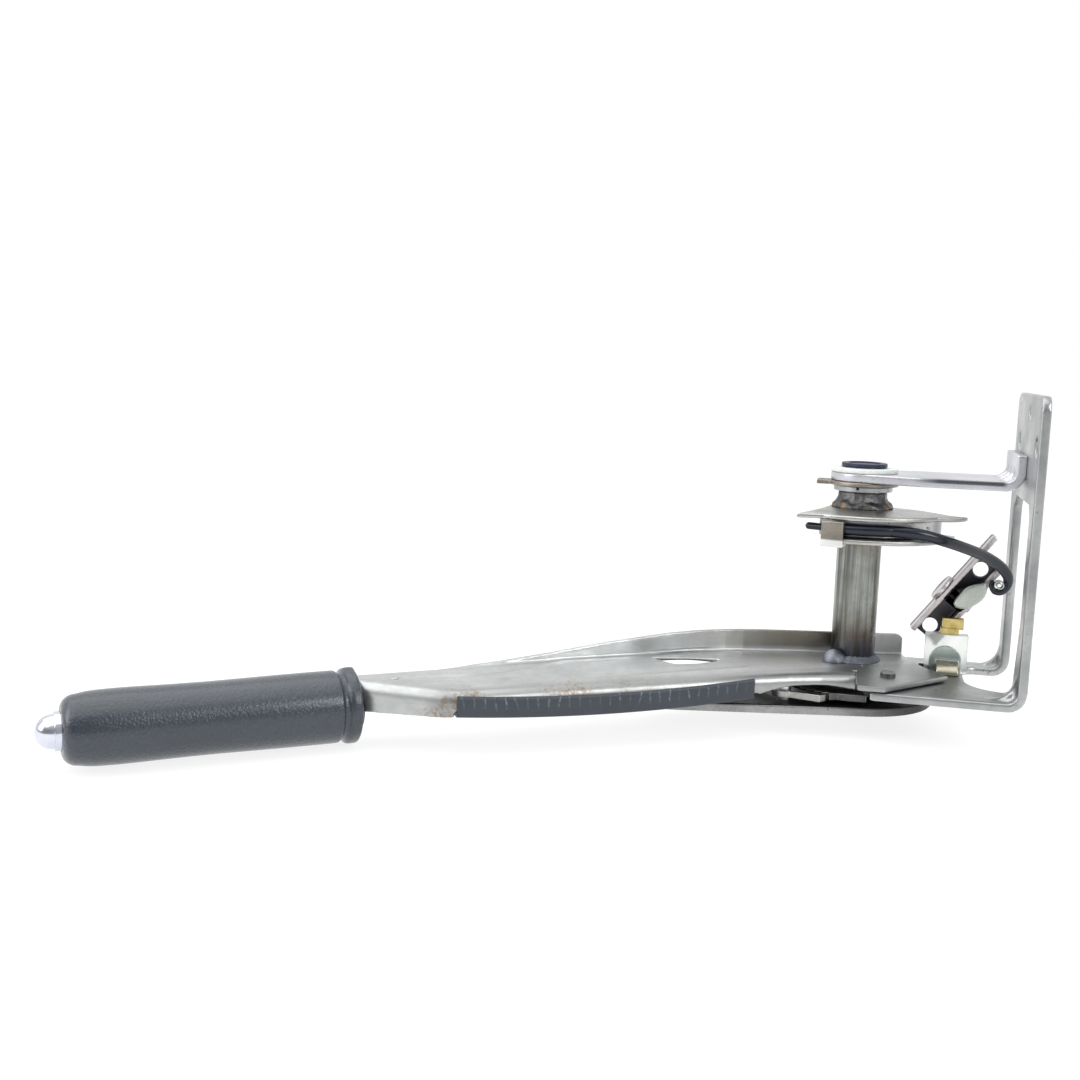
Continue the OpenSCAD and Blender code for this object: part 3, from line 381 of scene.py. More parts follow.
# The switch's clip is thin bright zinc with a green passivation. Its tongue, more than 4 mm in front of the
# shaft's axis, has lost the green and looks straw grey.
clip_zinc, made = steel("bright_green_zinc", "#bcc6c0", "#93a19d", "#6b736c", 0.5, 0.2, grain=0.12,
                        glint=0.9, convex=True)
tint(made, zone(made, "Y", -3.8, -4.6), linear("#b3ae9b"))
print("cut and bent fittings", [m.name for m in (arm_zinc, collar_zinc, clip_zinc)])

# %% [markdown]
# The lever's two plates are bare pressed steel, and this is the finish of the upper one. Pressing drags the
# sheet along the lever, so its marks run that way, and rust has started along the near ridge, where fingers
# and trim wear off the oil. The rust is a noise of fine specks, let through only in a band on that ridge,
# which is measured from the near edge's own line.

# %% Pressed lever steel with rust on the near ridge
EDGE_HEADING = math.radians(33)
edge_start = from_pivot(-153.5, -124, 0)
edge_along = Vector((math.cos(EDGE_HEADING), math.sin(EDGE_HEADING), 0))
edge_out = Vector((math.sin(EDGE_HEADING), -math.cos(EDGE_HEADING), 0))

pressed_steel, made = steel("bare_pressed_steel", "#d0d2d2", "#b3b5b5", "#8a857b", 0.45, 0.34,
                            marks=(0.2, 0.2, 1), grain=0.25)
tree, coords = made["tree"], made["coords"]
reach = add(tree, "ShaderNodeVectorMath", {0: coords, 1: edge_start}, operation="SUBTRACT")
outward = add(tree, "ShaderNodeVectorMath", {0: reach.outputs[0], 1: edge_out}, operation="DOT_PRODUCT")
along = add(tree, "ShaderNodeVectorMath", {0: reach.outputs[0], 1: edge_along}, operation="DOT_PRODUCT")
# The band is full within 4 mm of the line and gone 11 mm inside it, and fades from 40 to 130 mm along it.
near = add(tree, "ShaderNodeMapRange",
           {"Value": outward.outputs["Value"], "From Min": -0.011, "From Max": -0.004})
early = add(tree, "ShaderNodeMapRange",
            {"Value": along.outputs["Value"], "From Min": 0.13, "From Max": 0.04})
band = add(tree, "ShaderNodeMath", {0: near.outputs[0], 1: early.outputs[0]}, operation="MULTIPLY")
specks = add(tree, "ShaderNodeTexNoise",
             {"Vector": coords, "Scale": 1 / 0.0016, "Detail": 7, "Roughness": 0.75})
drifts = add(tree, "ShaderNodeTexNoise", {"Vector": coords, "Scale": 1 / 0.014, "Detail": 2})
bloom = add(tree, "ShaderNodeMath", {0: drifts.outputs[0], 1: 0.7, 2: specks.outputs[0]},
            operation="MULTIPLY_ADD")
crust = add(tree, "ShaderNodeMapRange",
            {"Value": bloom.outputs[0], "From Min": 0.845, "From Max": 0.98, "To Max": 0.85})
rust = add(tree, "ShaderNodeMath", {0: crust.outputs[0], 1: band.outputs[0]}, operation="MULTIPLY")
brown = add(tree, "ShaderNodeMix", {0: specks.outputs[0], 6: linear("#4b3d30"), 7: linear("#a68a64")},
            data_type="RGBA")
# The bend beside that ridge gets painted shade, which darkens its colour so it doesn't shine as the web does.
painted_bend_shade = add(tree, "ShaderNodeMapRange",
              {"Value": outward.outputs["Value"], "From Min": -0.008, "From Max": -0.003, "To Max": 0.6})
tint(made, painted_bend_shade.outputs[0], linear("#8e908f"))
tint(made, rust.outputs[0], brown.outputs[2])
bare = add(tree, "ShaderNodeMapRange", {"Value": rust.outputs[0], "To Min": 1.0, "To Max": 0.2})
tree.links.new(bare.outputs[0], made["shader"].inputs["Metallic"])
# Beside the shaft the far flange is browned by weld smoke, from 85 mm to 2 mm left of its axis.
span = add(tree, "ShaderNodeMath", {0: zone(made, "X", -85, -30, top=0.75), 1: zone(made, "X", -2, -10)},
           operation="MULTIPLY")
smoke = add(tree, "ShaderNodeMath", {0: span.outputs[0], 1: zone(made, "Z", 1, 3)}, operation="MULTIPLY")
tint(made, smoke.outputs[0], linear("#6a604a"))
print("pressed steel with", len(tree.nodes), "nodes")

# %% [markdown]
# The sector and the lever's lower plate are the same sheet, but old oil lies on the sector and dulls its
# plates evenly. The lower plate goes near black: painted shade on its upper face, which lies inside the
# lever, and a darkening towards the bracket.

# %% Oiled sheet
# The sector plates are duller with oil, and their edges carry a strong painted highlight.
oiled_steel, _ = steel("oiled_pressed_steel", "#c8c8c5", "#a2a29d", "#5a5048", 0.5, 0.3, grain=0.25,
                       glint=0.95, convex=True)
# The lower plate darkens towards the bracket, from 5 mm before the shaft's axis to 30 mm past it, and its
# upper face, inside the lever, gets painted shade as black.
dark_steel, made = steel("pressed_steel_near_black_painted_shade", "#a9aaa9", "#858685", "#4c4844", 0.6, 0.36)
tree = made["tree"]
upward = add(tree, "ShaderNodeSeparateXYZ",
             {0: add(tree, "ShaderNodeNewGeometry").outputs["Normal"]}).outputs["Z"]
painted_shade_on_top = add(tree, "ShaderNodeMapRange", {"Value": upward, "From Min": 0.5, "From Max": 0.8, "To Max": 0.9})
near_black_share = add(tree, "ShaderNodeMath", {0: zone(made, "X", -5, 30, top=0.9), 1: painted_shade_on_top.outputs[0]},
          operation="MAXIMUM")
tint(made, near_black_share.outputs[0], linear("#242427"))
print("oiled sheet", oiled_steel.name, dark_steel.name)

# %% [markdown]
# The pivot tube is drawn steel: long streaks run down it, and the two welds have burned a brown heat tint
# into both ends. A gradient along the tube's own axis places the tint, so it stays where the welds are.

# %% Drawn tube with heat tint
drawn_tube, made = steel("drawn_heat_tinted_tube", "#b4b7b1", "#7f827e", "#514639", 0.5, 0.25,
                         marks=(1, 1, 0.02))
tree = made["tree"]
ends = add(tree, "ShaderNodeMath",
           {0: zone(made, "Z", 26, 6, top=0.8), 1: zone(made, "Z", 48, 62, top=0.75)}, operation="MAXIMUM")
cloud = add(tree, "ShaderNodeTexNoise", {"Vector": made["coords"], "Scale": 1 / 0.008, "Detail": 3})
patchy = add(tree, "ShaderNodeMath", {0: ends.outputs[0], 1: cloud.outputs[0]}, operation="MULTIPLY")
strong = add(tree, "ShaderNodeMapRange", {"Value": patchy.outputs[0], "From Max": 0.4, "To Max": 0.95})
tint(made, strong.outputs[0], linear("#6a5540"))
# The foot went past brown to blue.
tint(made, zone(made, "Z", 20, 6, top=0.9), linear("#3c414c"))
# Drawing left dark streaks about 3 mm apart.
drawn = add(tree, "ShaderNodeMapping", {"Vector": made["coords"], "Scale": (1, 1, 0.03)})
stripes = add(tree, "ShaderNodeTexNoise", {"Vector": drawn.outputs[0], "Scale": 1 / 0.003, "Detail": 2})
streak = add(tree, "ShaderNodeMapRange",
             {"Value": stripes.outputs[0], "From Min": 0.48, "From Max": 0.64, "To Max": 0.75})
tint(made, streak.outputs[0], linear("#4c4d4a"))
print("tube", drawn_tube.name, "with", len(tree.nodes), "nodes")

# %% [markdown]
# Weld metal is scaled and dark, with colours from straw to blue where it cooled. The beads get their shape
# later, with their mesh, so here it is only a rough dark metal with gold patches about 6 mm wide.

# %% Weld metal
weld_metal, made = steel("scaled_weld_metal", "#8d8c8d", "#3f3f42", "#26221f", 0.7, 0.4, edge_mm=0.3)
tree = made["tree"]
straw = add(tree, "ShaderNodeTexNoise", {"Vector": made["coords"], "Scale": 1 / 0.006, "Detail": 2})
patch = add(tree, "ShaderNodeMapRange",
            {"Value": straw.outputs[0], "From Min": 0.6, "From Max": 0.72, "To Max": 0.8})
tint(made, patch.outputs[0], linear("#b07f2c"))
# The foot's weld was wiped clean while hot, and kept a blue-grey skin.
blue_weld, _ = steel("wiped_weld_metal", "#92969f", "#6a6e77", "#4f4a45", 0.5, 0.48, edge_mm=0.3, glint=0.3)
print("weld metals", weld_metal.name, blue_weld.name)

# %% [markdown]
# The grip is moulded rubber with a leather grain: rounded pebbles about 1 mm across with fine pores
# between. Voronoi cells give the pebbles and a fine noise the pores. Both go into the bump, and only
# faintly into the colour: handling polishes the pebbles' tops, so they are a little lighter and smoother
# than the valleys.

# %% Grained rubber
rubber, tree = blank("moulded_grained_rubber")
coords = add(tree, "ShaderNodeTexCoord").outputs["Object"]
wander = add(tree, "ShaderNodeTexNoise", {"Vector": coords, "Scale": 1 / 0.004, "Detail": 2})
shifted = add(tree, "ShaderNodeVectorMath",
              {0: wander.outputs["Color"], 1: (0.0012, 0.0012, 0.0012), 2: coords},
              operation="MULTIPLY_ADD")
pebbles = add(tree, "ShaderNodeTexVoronoi", {"Vector": shifted.outputs[0], "Scale": 1 / 0.0010},
              feature="SMOOTH_F1")
pores = add(tree, "ShaderNodeTexNoise", {"Vector": coords, "Scale": 1 / 0.0005, "Detail": 3})
grain = add(tree, "ShaderNodeMath", {0: pores.outputs[0], 1: 0.35, 2: pebbles.outputs["Distance"]},
            operation="MULTIPLY_ADD")
wear_and_edge_glint = add(tree, "ShaderNodeTexNoise", {"Vector": coords, "Scale": 1 / 0.03, "Detail": 3})
tone = add(tree, "ShaderNodeMath", {0: wear_and_edge_glint.outputs[0], 1: 0.6, 2: grain.outputs[0]},
           operation="MULTIPLY_ADD")
shade = add(tree, "ShaderNodeMapRange", {"Value": tone.outputs[0], "From Min": 0.5, "From Max": 1.2})
black = add(tree, "ShaderNodeMix", {0: shade.outputs[0], 6: linear("#2a3542"), 7: linear("#1d2631")},
            data_type="RGBA")
gloss = add(tree, "ShaderNodeMapRange", {"Value": shade.outputs[0], "To Min": 0.24, "To Max": 0.4})
relief = add(tree, "ShaderNodeBump", {"Height": grain.outputs[0], "Strength": 0.7, "Distance": 0.0003},
             invert=True)
skin = add(tree, "ShaderNodeBsdfPrincipled",
           {"Base Color": black.outputs[2], "Roughness": gloss.outputs[0], "IOR": 1.56, "Coat Weight": 0.6,
            "Coat Roughness": 0.22, "Normal": relief.outputs[0]})
add(tree, "ShaderNodeOutputMaterial", {"Surface": skin.outputs[0]})
print("rubber", rubber.name, "with", len(tree.nodes), "nodes")

# %% [markdown]
# The edge trim is black PVC, extruded and pushed over the lever's sharp edge. Bending it left a row of pale
# stress marks, which the mesh carries in an attribute named stress, so the material only has to whiten
# them.

# %% Extruded PVC
pvc, tree = blank("extruded_black_pvc")
coords = add(tree, "ShaderNodeTexCoord").outputs["Object"]
stress = add(tree, "ShaderNodeAttribute", attribute_name="stress")
scuffs = add(tree, "ShaderNodeTexNoise",
             {"Vector": coords, "Scale": 1 / 0.0012, "Detail": 5, "Roughness": 0.7})
clouds = add(tree, "ShaderNodeTexNoise", {"Vector": coords, "Scale": 1 / 0.012, "Detail": 2})
base = add(tree, "ShaderNodeMix", {0: clouds.outputs[0], 6: linear("#2b323b"), 7: linear("#394149")},
           data_type="RGBA")
gaps = add(tree, "ShaderNodeMapRange",
           {"Value": scuffs.outputs[0], "From Min": 0.42, "From Max": 0.62, "To Max": 0.75})
broken = add(tree, "ShaderNodeMath", {0: stress.outputs["Fac"], 1: gaps.outputs[0]}, operation="MULTIPLY")
pale = add(tree, "ShaderNodeMix", {0: broken.outputs[0], 6: base.outputs[2], 7: linear("#a8b1b9")},
           data_type="RGBA")
gloss = add(tree, "ShaderNodeMapRange", {"Value": scuffs.outputs[0], "To Min": 0.35, "To Max": 0.55})
relief = add(tree, "ShaderNodeBump", {"Height": scuffs.outputs[0], "Strength": 0.15, "Distance": 0.0003})
skin = add(tree, "ShaderNodeBsdfPrincipled",
           {"Base Color": pale.outputs[2], "Roughness": gloss.outputs[0], "IOR": 1.53,
            "Normal": relief.outputs[0]})
add(tree, "ShaderNodeOutputMaterial", {"Surface": skin.outputs[0]})
print("trim", pvc.name, "with", len(tree.nodes), "nodes")

# %% [markdown]
# The small parts have simple finishes: chromed brass on the button, natural nylon in the bushes and the
# switch, dyed plastic in the plug and plunger, brass on the terminal and a glossy coating on the cable.
# They share one recipe: a base and a second tone mixed by a noise of the right size, with the noise in
# gloss and bump as well.

# %% Small finishes
def finish(name, tone, other, size_mm, rough, metal=0.0, ior=1.5, bump=0.1, **extra):
    """A moulded or plated finish with two tones, and its noise as wide as size_mm."""
    material, tree = blank(name)
    coords = add(tree, "ShaderNodeTexCoord").outputs["Object"]
    cloud = add(tree, "ShaderNodeTexNoise",
                {"Vector": coords, "Scale": 1000 / size_mm, "Detail": 4, "Roughness": 0.6})
    share = add(tree, "ShaderNodeMapRange", {"Value": cloud.outputs[0], "From Min": 0.35, "From Max": 0.65})
    mixed = add(tree, "ShaderNodeMix", {0: share.outputs[0], 6: linear(tone), 7: linear(other)},
                data_type="RGBA")
    gloss = add(tree, "ShaderNodeMapRange",
                {"Value": cloud.outputs[0], "To Min": rough - 0.04, "To Max": rough + 0.06})
    soft = add(tree, "ShaderNodeBevel", {"Radius": 0.0004}, samples=6)
    relief = add(tree, "ShaderNodeBump",
                 {"Height": cloud.outputs[0], "Strength": bump, "Distance": 0.0002,
                  "Normal": soft.outputs[0]})
    shader = add(tree, "ShaderNodeBsdfPrincipled",
                 {"Base Color": mixed.outputs[2], "Metallic": metal, "Roughness": gloss.outputs[0],
                  "Normal": relief.outputs[0]})
    if not metal:
        shader.inputs["IOR"].default_value = ior
    for key, value in extra.items():
        shader.inputs[key.replace("_", " ")].default_value = value
    add(tree, "ShaderNodeOutputMaterial", {"Surface": shader.outputs[0]})
    return material


# Polished chrome plate shows the tent and almost nothing of itself.
chrome = finish("polished_chrome_plate", "#dde0ea", "#cfd3df", 6, 0.15, metal=1.0, bump=0.02)
# Natural nylon is milky: light goes a little way in.
nylon = finish("natural_moulded_nylon", "#f2f2ef", "#e6e6e1", 5, 0.36, ior=1.53, Subsurface_Weight=0.2)
# The switch block is the same nylon in thin walls, so some light goes through.
clear_nylon = finish("thin_walled_natural_nylon", "#fcfefc", "#f1f5f1", 4, 0.42, ior=1.3,
                     Transmission_Weight=0.85)
blue_plastic = finish("blue_moulded_plastic", "#262d4a", "#1b2038", 3, 0.4)
black_nylon = finish("black_moulded_nylon", "#24262a", "#191b1e", 3, 0.42)
brass = finish("stamped_brass", "#dccb8c", "#bda55c", 4, 0.32, metal=1.0)
cable_skin = finish("extruded_cable_coating", "#0c111e", "#151c2b", 7, 0.17, ior=1.5, bump=0.05)
print("small finishes",
      [m.name for m in (chrome, nylon, clear_nylon, blue_plastic, black_nylon, brass, cable_skin)])

# %% [markdown]
# Every solid now gets the finish of its real material. The record already says which solid has which, so
# the first table goes from the record's slot to the finish, and no solid is left out. The second names the
# solids that look different from the rest of their slot.

# %% Dress the solids
FINISH_OF_SLOT = {
    "zinc_plated_steel": zinc_plate, "bare_pressed_steel": oiled_steel, "drawn_steel_tube": drawn_tube,
    "weld_metal": weld_metal, "hardened_steel": hard_steel, "clip_steel": clip_steel,
    "pale_zinc_steel": pale_zinc, "moulded_rubber": rubber, "moulded_pvc": pvc, "chrome_button": chrome,
    "white_nylon": nylon, "blue_plastic": blue_plastic, "black_nylon": black_nylon, "brass_terminal": brass,
    "cable_coating": cable_skin}
FINISH_OF_SOLID = {
    "switch_body": clear_nylon, "lever_lower_plate": dark_steel, "equaliser_clevis": green_zinc,
    "bush_collar": collar_zinc, "foot_weld": blue_weld, "top_arm": arm_zinc, "bush_keeper": strip_steel,
    "switch_clip": clip_zinc, "pawl": tooth_steel, "lever_column": hard_steel, "web_screw": hard_steel}
slot_of = {part["node"]: part["material_slot"] for part in frame["record"]["subparts"]}


def wear(solid, material):
    """Give an object one finish all over."""
    solid.data.materials.clear()
    solid.data.materials.append(material)


for name, solid in nodes.items():
    wear(solid, FINISH_OF_SOLID.get(name, FINISH_OF_SLOT[slot_of[name]]))
print(len(nodes), "solids dressed,", len(FINISH_OF_SOLID), "of them apart from their slot")

# %% [markdown]
# A new piece is a mesh, a finish, a body to move with and the solids it stands for. One helper does those
# steps in the same order each time, and smooths the shading.

# %% Piece helper
def piece(name, mesh, body, material, *stands_for):
    """Add a mesh that rides on a body and takes the place of some solids."""
    made = bpy.data.objects.new(name, mesh)
    bpy.context.scene.collection.objects.link(made)
    wear(made, material)
    for face in mesh.polygons:
        face.use_smooth = True
    if body:
        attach(made, body)
    if stands_for:
        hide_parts(*stands_for)
    return made


print("helper", piece.__name__)

# %% [markdown]
# Pressed sheet has no knife edges: each cut rolls over a little, and each bend flows. Beveling every edge
# of a solid by hand would be slow, so a copy of the solid is remeshed in small even squares and relaxed a
# few times. The squares follow the solid within a fraction of a millimetre, and give later cells points to
# push.

# %% Soft copy helper
def soft_copy(node, square_mm, passes):
    """Mesh of a solid, remeshed in squares and relaxed, as a pressed or cast piece is."""
    source = bpy.data.objects.new("scratch", nodes[node].data.copy())
    bpy.context.scene.collection.objects.link(source)
    weld = source.modifiers.new("weld", "WELD")
    weld.merge_threshold = 1e-6
    squares = source.modifiers.new("squares", "REMESH")
    squares.mode = "VOXEL"
    squares.voxel_size = square_mm / 1000
    relax = source.modifiers.new("relax", "SMOOTH")
    relax.factor = 0.5
    relax.iterations = passes
    ready = source.evaluated_get(bpy.context.evaluated_depsgraph_get())
    mesh = bpy.data.meshes.new_from_object(ready)
    bpy.data.objects.remove(source)
    return mesh


print("helper", soft_copy.__name__)

# %% [markdown]
# The lever's upper plate is the piece that needs most skill. Creases fan out from its neck: a long ridge
# beside the near bend, and a valley that opens between the web and the rising far flange. Each crease is a
# line of points in plan with a width and a height, and the points of the soft copy near it go up or down
# with a smooth falloff. Sculpting could do this by hand, but a formula can be measured and repeated. The
# relief slit at the end of the near bend is drawn shut, and the slot in the web is pulled open and its rim
# thinned, so that light shows through.

# %% Lever stamping
CREASES = [
    # points in plan, width, height, all in millimetres from the pivot
    ([(-190, -112), (-161, -95), (-144, -74), (-131, -56)], 5.0, -1.3),
    ([(-160, -105), (-141, -88), (-121, -62), (-104, -47)], 4.5, 1.4),
    ([(-152, -112), (-120, -86), (-93, -64), (-64, -44)], 5.0, -1.2),
    ([(-170, -117), (-150, -111), (-120, -93), (-80, -65), (-46, -38)], 4.0, 1.0),
]


def line_distance(x, y, points):
    """Distance in plan from a line of points, and how far along it, from 0 to 1."""
    best, where, done = 1e9, 0.0, 0.0
    spans = [math.dist(a, b) for a, b in zip(points, points[1:])]
    for (ax, ay), (bx, by), span in zip(points, points[1:], spans):
        t = max(0.0, min(1.0, ((x - ax) * (bx - ax) + (y - ay) * (by - ay)) / span ** 2))
        gap = math.hypot(x - ax - t * (bx - ax), y - ay - t * (by - ay))
        if gap < best:
            best, where = gap, (done + t * span) / sum(spans)
        done += span
    return best, where


def press_creases(mesh):
    """Push the web of the lever's plate up and down along its creases."""
    moved = 0
    level = [max(0.0, min(1.0, (abs(vertex.normal.z) - 0.5) / 0.4)) for vertex in mesh.vertices]
    for vertex, flat in zip(mesh.vertices, level):
        x, y, z = (vertex.co - pivot) * 1000
        if not -4 < z < 5 or x > -45:
            continue
        lift = 0.0
        for points, width, height in CREASES:
            gap, where = line_distance(x, y, points)
            if gap < 2 * width:
                falloff = math.exp(-(gap / width) ** 2 * 2.5)
                lift += height * falloff * math.sin(math.pi * (0.08 + 0.84 * where))
        vertex.co.z += lift * flat / 1000
        moved += abs(lift * flat) > 0.1
    return moved


# The relief slit: its middle and its two ends, how far to each side it pulls, and what share stays open.
SLIT_X = 2.0
SLIT_Y = (-50, -26)
SLIT_REACH = 2.4
SLIT_LEFT_OPEN = 0.15


def close_slit(mesh):
    """Draw the sides of the relief slit at the end of the near bend together, as pressing does."""
    for vertex in mesh.vertices:
        x, y, _ = (vertex.co - pivot) * 1000
        gap = x - SLIT_X
        if SLIT_Y[0] < y < SLIT_Y[1] and abs(gap) < SLIT_REACH:
            share = SLIT_LEFT_OPEN + (1 - SLIT_LEFT_OPEN) * (gap / SLIT_REACH) ** 2
            vertex.co.x = pivot.x + (SLIT_X + gap * share) / 1000


# The slot in the web: its middle, how far the pull reaches, and by what shares it widens and thins.
SLOT_X = -74
SLOT_Y = -33.5
SLOT_REACH = 16
SLOT_WIDER = 0.3
SLOT_THINNER = 0.55


def open_slot(mesh):
    """Pull the slot in the web open towards and away from the camera, and thin the sheet under its rim."""
    for vertex in mesh.vertices:
        x, y, z = (vertex.co - pivot) * 1000
        gap = math.hypot(x - SLOT_X, y - SLOT_Y)
        if gap < 2.5 * SLOT_REACH and -6 < z < 1.5:
            near = math.exp(-(gap / SLOT_REACH) ** 2)
            vertex.co.y += (y - SLOT_Y) * SLOT_WIDER * near / 1000
            if z < 0:
                vertex.co.z -= z * SLOT_THINNER * near / 1000


stamping = soft_copy("lever_upper_plate", 0.5, 7)
close_slit(stamping)
open_slot(stamping)
print("creases moved", press_creases(stamping), "of", len(stamping.vertices), "points")
piece("lever_stamping", stamping, "lever", pressed_steel, "lever_upper_plate")

# %% [markdown]
# The other pressed and folded pieces get the same treatment as the stamping, without creases: a copy in
# squares small enough for their sheet, relaxed so that cut edges roll over and folds flow. The sector's
# upper plate was pried up at its right lug by about a millimetre, so that its outer 12 mm is bent on the
# way, and the tongue of the switch's clip bulges a little less.

# %% Other pressed pieces
PRESSED = [
    # solid, body, square size in millimetres, relaxing passes
    ("bracket_plate", "bracket", 0.9, 3),
    ("top_arm", "bracket", 0.6, 3),
    ("bush_keeper", "bracket", 0.5, 2),
    ("switch_clip", "bracket", 0.3, 3),
    ("sector_upper_plate", "lever", 0.45, 3),
    ("sector_lower_plate", "lever", 0.45, 3),
    ("sector_hub", "lever", 0.6, 2),
    ("lever_lower_plate", "lever", 0.5, 3),
    ("cable_clip", "lever", 0.35, 3),
    ("equaliser_bar", "bar", 0.5, 3),
    ("equaliser_pin", "clevis", 0.35, 3),
]
# The bend of the sector's lug, and the tongue of the switch's clip, in millimetres from the pivot.
LUG_BEND_X, LUG_BEND_LONG, LUG_RISE = 36, 12, 1.4
TONGUE_Y, TONGUE_FOOT, TONGUE_LONG, TONGUE_BULGE = -3.9, -2.9, 6.5, 0.8
for node, body, square, passes in PRESSED:
    mesh = soft_copy(node, square, passes)
    if node == "sector_upper_plate":
        for vertex in mesh.vertices:
            past = max(0.0, ((vertex.co - pivot).x * 1000 - LUG_BEND_X) / LUG_BEND_LONG)
            vertex.co.z += LUG_RISE / 1000 * past ** 2
    if node == "switch_clip":
        for vertex in mesh.vertices:
            _, y, z = (vertex.co - pivot) * 1000
            if y < TONGUE_Y:
                up_tongue = max(0.0, min(1.0, (z - TONGUE_FOOT) / TONGUE_LONG))
                vertex.co.y -= TONGUE_BULGE / 1000 * math.sin(math.pi * up_tongue)
    piece(node + "_pressed", mesh, body, nodes[node].data.materials[0], node)
    print(node, len(mesh.vertices), "points")

# %% [markdown]
# The welds are beads that froze in ripples. A soft copy of each weld's solid is pushed in and out by a
# noise of bead size, and small balls of spatter lie on the plate around the foot.

# %% Weld beads
BEAD = 3.2
SPATTER_BALLS = 16

noise.seed_set(7)


def ripple(mesh, size_mm, depth_mm):
    """Push a mesh in and out along its normals by a smooth noise."""
    normals = [vertex.normal.copy() for vertex in mesh.vertices]
    for vertex, normal in zip(mesh.vertices, normals):
        vertex.co += normal * noise.noise(vertex.co * 1000 / size_mm) * depth_mm / 1000


for node, material, depth in (("foot_weld", blue_weld, 0.3), ("sector_weld", weld_metal, 0.7)):
    bead = soft_copy(node, 0.45, 4)
    ripple(bead, BEAD, depth)
    piece(node + "_bead", bead, "lever", material, node)
    print(node, len(bead.vertices), "points")

# Balls of 0.25 to 0.7 mm radius lie 15 to 27 mm from the shaft's axis, on its near right side.
spatter = bmesh.new()
for i in range(SPATTER_BALLS):
    turn = math.radians(-80 + 90 * noise.random())
    away = 15 + 12 * noise.random() ** 2
    size = 0.25 + 0.45 * noise.random() ** 2
    place = from_pivot(away * math.cos(turn), away * math.sin(turn), 0.1)
    squash = Matrix.Diagonal((1, 1, 0.6, 1))
    bmesh.ops.create_icosphere(spatter, subdivisions=2, radius=size / 1000,
                               matrix=Matrix.Translation(place) @ squash)
spatter_mesh = bpy.data.meshes.new("weld_spatter")
spatter.to_mesh(spatter_mesh)
spatter.free()
piece("weld_spatter", spatter_mesh, "lever", pressed_steel)
print("spatter", len(spatter_mesh.vertices), "points")

# %% [markdown]
# Many pieces here are skins drawn over rings of points: a turned profile, a swept trim, a bent cable, a
# rolled eye. Joining ring to ring is the same each time, so one helper does it, and closes the two ends
# where the piece is solid.

# %% Ring helper
def skin_over(name, shape, rings, closed=True):
    """Mesh of a skin over rings of points in a shape, with its two ends closed unless told otherwise."""
    for low, high in zip(rings, rings[1:]):
        for i in range(len(low)):
            j = (i + 1) % len(low)
            shape.faces.new((low[i], low[j], high[j], high[i]))
    if closed:
        shape.faces.new(rings[0])
        shape.faces.new(rings[-1][::-1])
    bmesh.ops.recalc_face_normals(shape, faces=shape.faces)
    mesh = bpy.data.meshes.new(name)
    shape.to_mesh(mesh)
    shape.free()
    return mesh


print("helper", skin_over.__name__)

# %% [markdown]
# Round pieces are turned, as on a lathe: a profile of radius against distance goes round an axis. Where the
# piece is soft, a smooth curve through a few measured points makes the profile dense.

# %% Turning helper
def smooth_line(points, steps):
    """Points of a smooth curve (Catmull-Rom) through the given points."""
    line = []
    padded = [points[0], *points, points[-1]]
    for a, b, c, d in zip(padded, padded[1:], padded[2:], padded[3:]):
        for i in range(steps):
            t = i / steps
            line.append(0.5 * (2 * b + (c - a) * t + (2 * a - 5 * b + 4 * c - d) * t * t
                               + (3 * b - a - 3 * c + d) * t ** 3))
    return [*line, points[-1]]


def turned(name, profile, start, axis, sides=96):
    """Mesh of a profile of (radius, distance) in millimetres, turned about an axis from a start point."""
    axis = axis.normalized()
    first = axis.orthogonal().normalized()
    second = axis.cross(first)
    turns = [2 * math.pi * i / sides for i in range(sides)]
    around = [first * math.cos(angle) + second * math.sin(angle) for angle in turns]
    shape = bmesh.new()
    rings = [[shape.verts.new(start + (axis * distance + out * max(radius, 0.01)) / 1000) for out in around]
             for radius, distance in profile]
    return skin_over(name, shape, rings, closed=False)


print("helpers", smooth_line.__name__, turned.__name__)

# %% [markdown]
# The grip is moulded round its own line, with a lip, a groove and a rounded far end, so a turned profile
# gives all of it. The lip has a small moulding lump on top, which is pushed out afterwards.

# %% Grip
GRIP_HEADING = math.radians(38.8)
GRIP_LONG = 116.5
# The lip's length and the lump's height are in millimetres, the lump's width is a share of the radius.
LIP_LONG, LUMP_HIGH, LUMP_WIDE = 4.4, 0.5, 0.12
grip_axis = Vector((-math.cos(GRIP_HEADING), -math.sin(GRIP_HEADING), 0))
grip_end = from_pivot(-204.2, -115.6, -12)
lip = [(10.6, 0.0), (14.6, 0.0), (15.5, 0.25), (15.9, 0.9), (15.97, 2.4), (15.85, 3.9), (15.4, 4.7),
       (14.5, 5.5), (14.35, 6.4), (14.5, 7.3), (15.05, 8.1), (15.2, 9.2)]
swell = [(15.2, 16), (15.1, 30), (14.85, 48), (14.7, 60), (14.75, 76), (14.95, 90), (14.9, 99), (14.6, 106)]
nose = [(13.9 - 5.5 * (1 - math.cos(a)), 110.5 + 6 * math.sin(a))
        for a in (0.0, 0.3, 0.6, 0.9, 1.2, 1.4, math.pi / 2)]
rim = [(8.2, GRIP_LONG), (7.9, GRIP_LONG - 0.4), (7.8, GRIP_LONG - 4)]
outline = [Vector(p) for p in lip + swell + nose + rim]
grip_mesh = turned("grip_skin", [tuple(p) for p in smooth_line(outline, 4)], grip_end, grip_axis)
for vertex in grip_mesh.vertices:
    gap = (vertex.co - grip_end) * 1000
    out = gap - grip_axis * gap.dot(grip_axis)
    if gap.dot(grip_axis) < LIP_LONG and out.length > 14.5:
        lump = math.exp(-((out.normalized() - Vector((0, 0, 1))).length / LUMP_WIDE) ** 2)
        vertex.co += out.normalized() * LUMP_HIGH * lump / 1000
piece("grip_skin", grip_mesh, "lever", rubber, "grip")
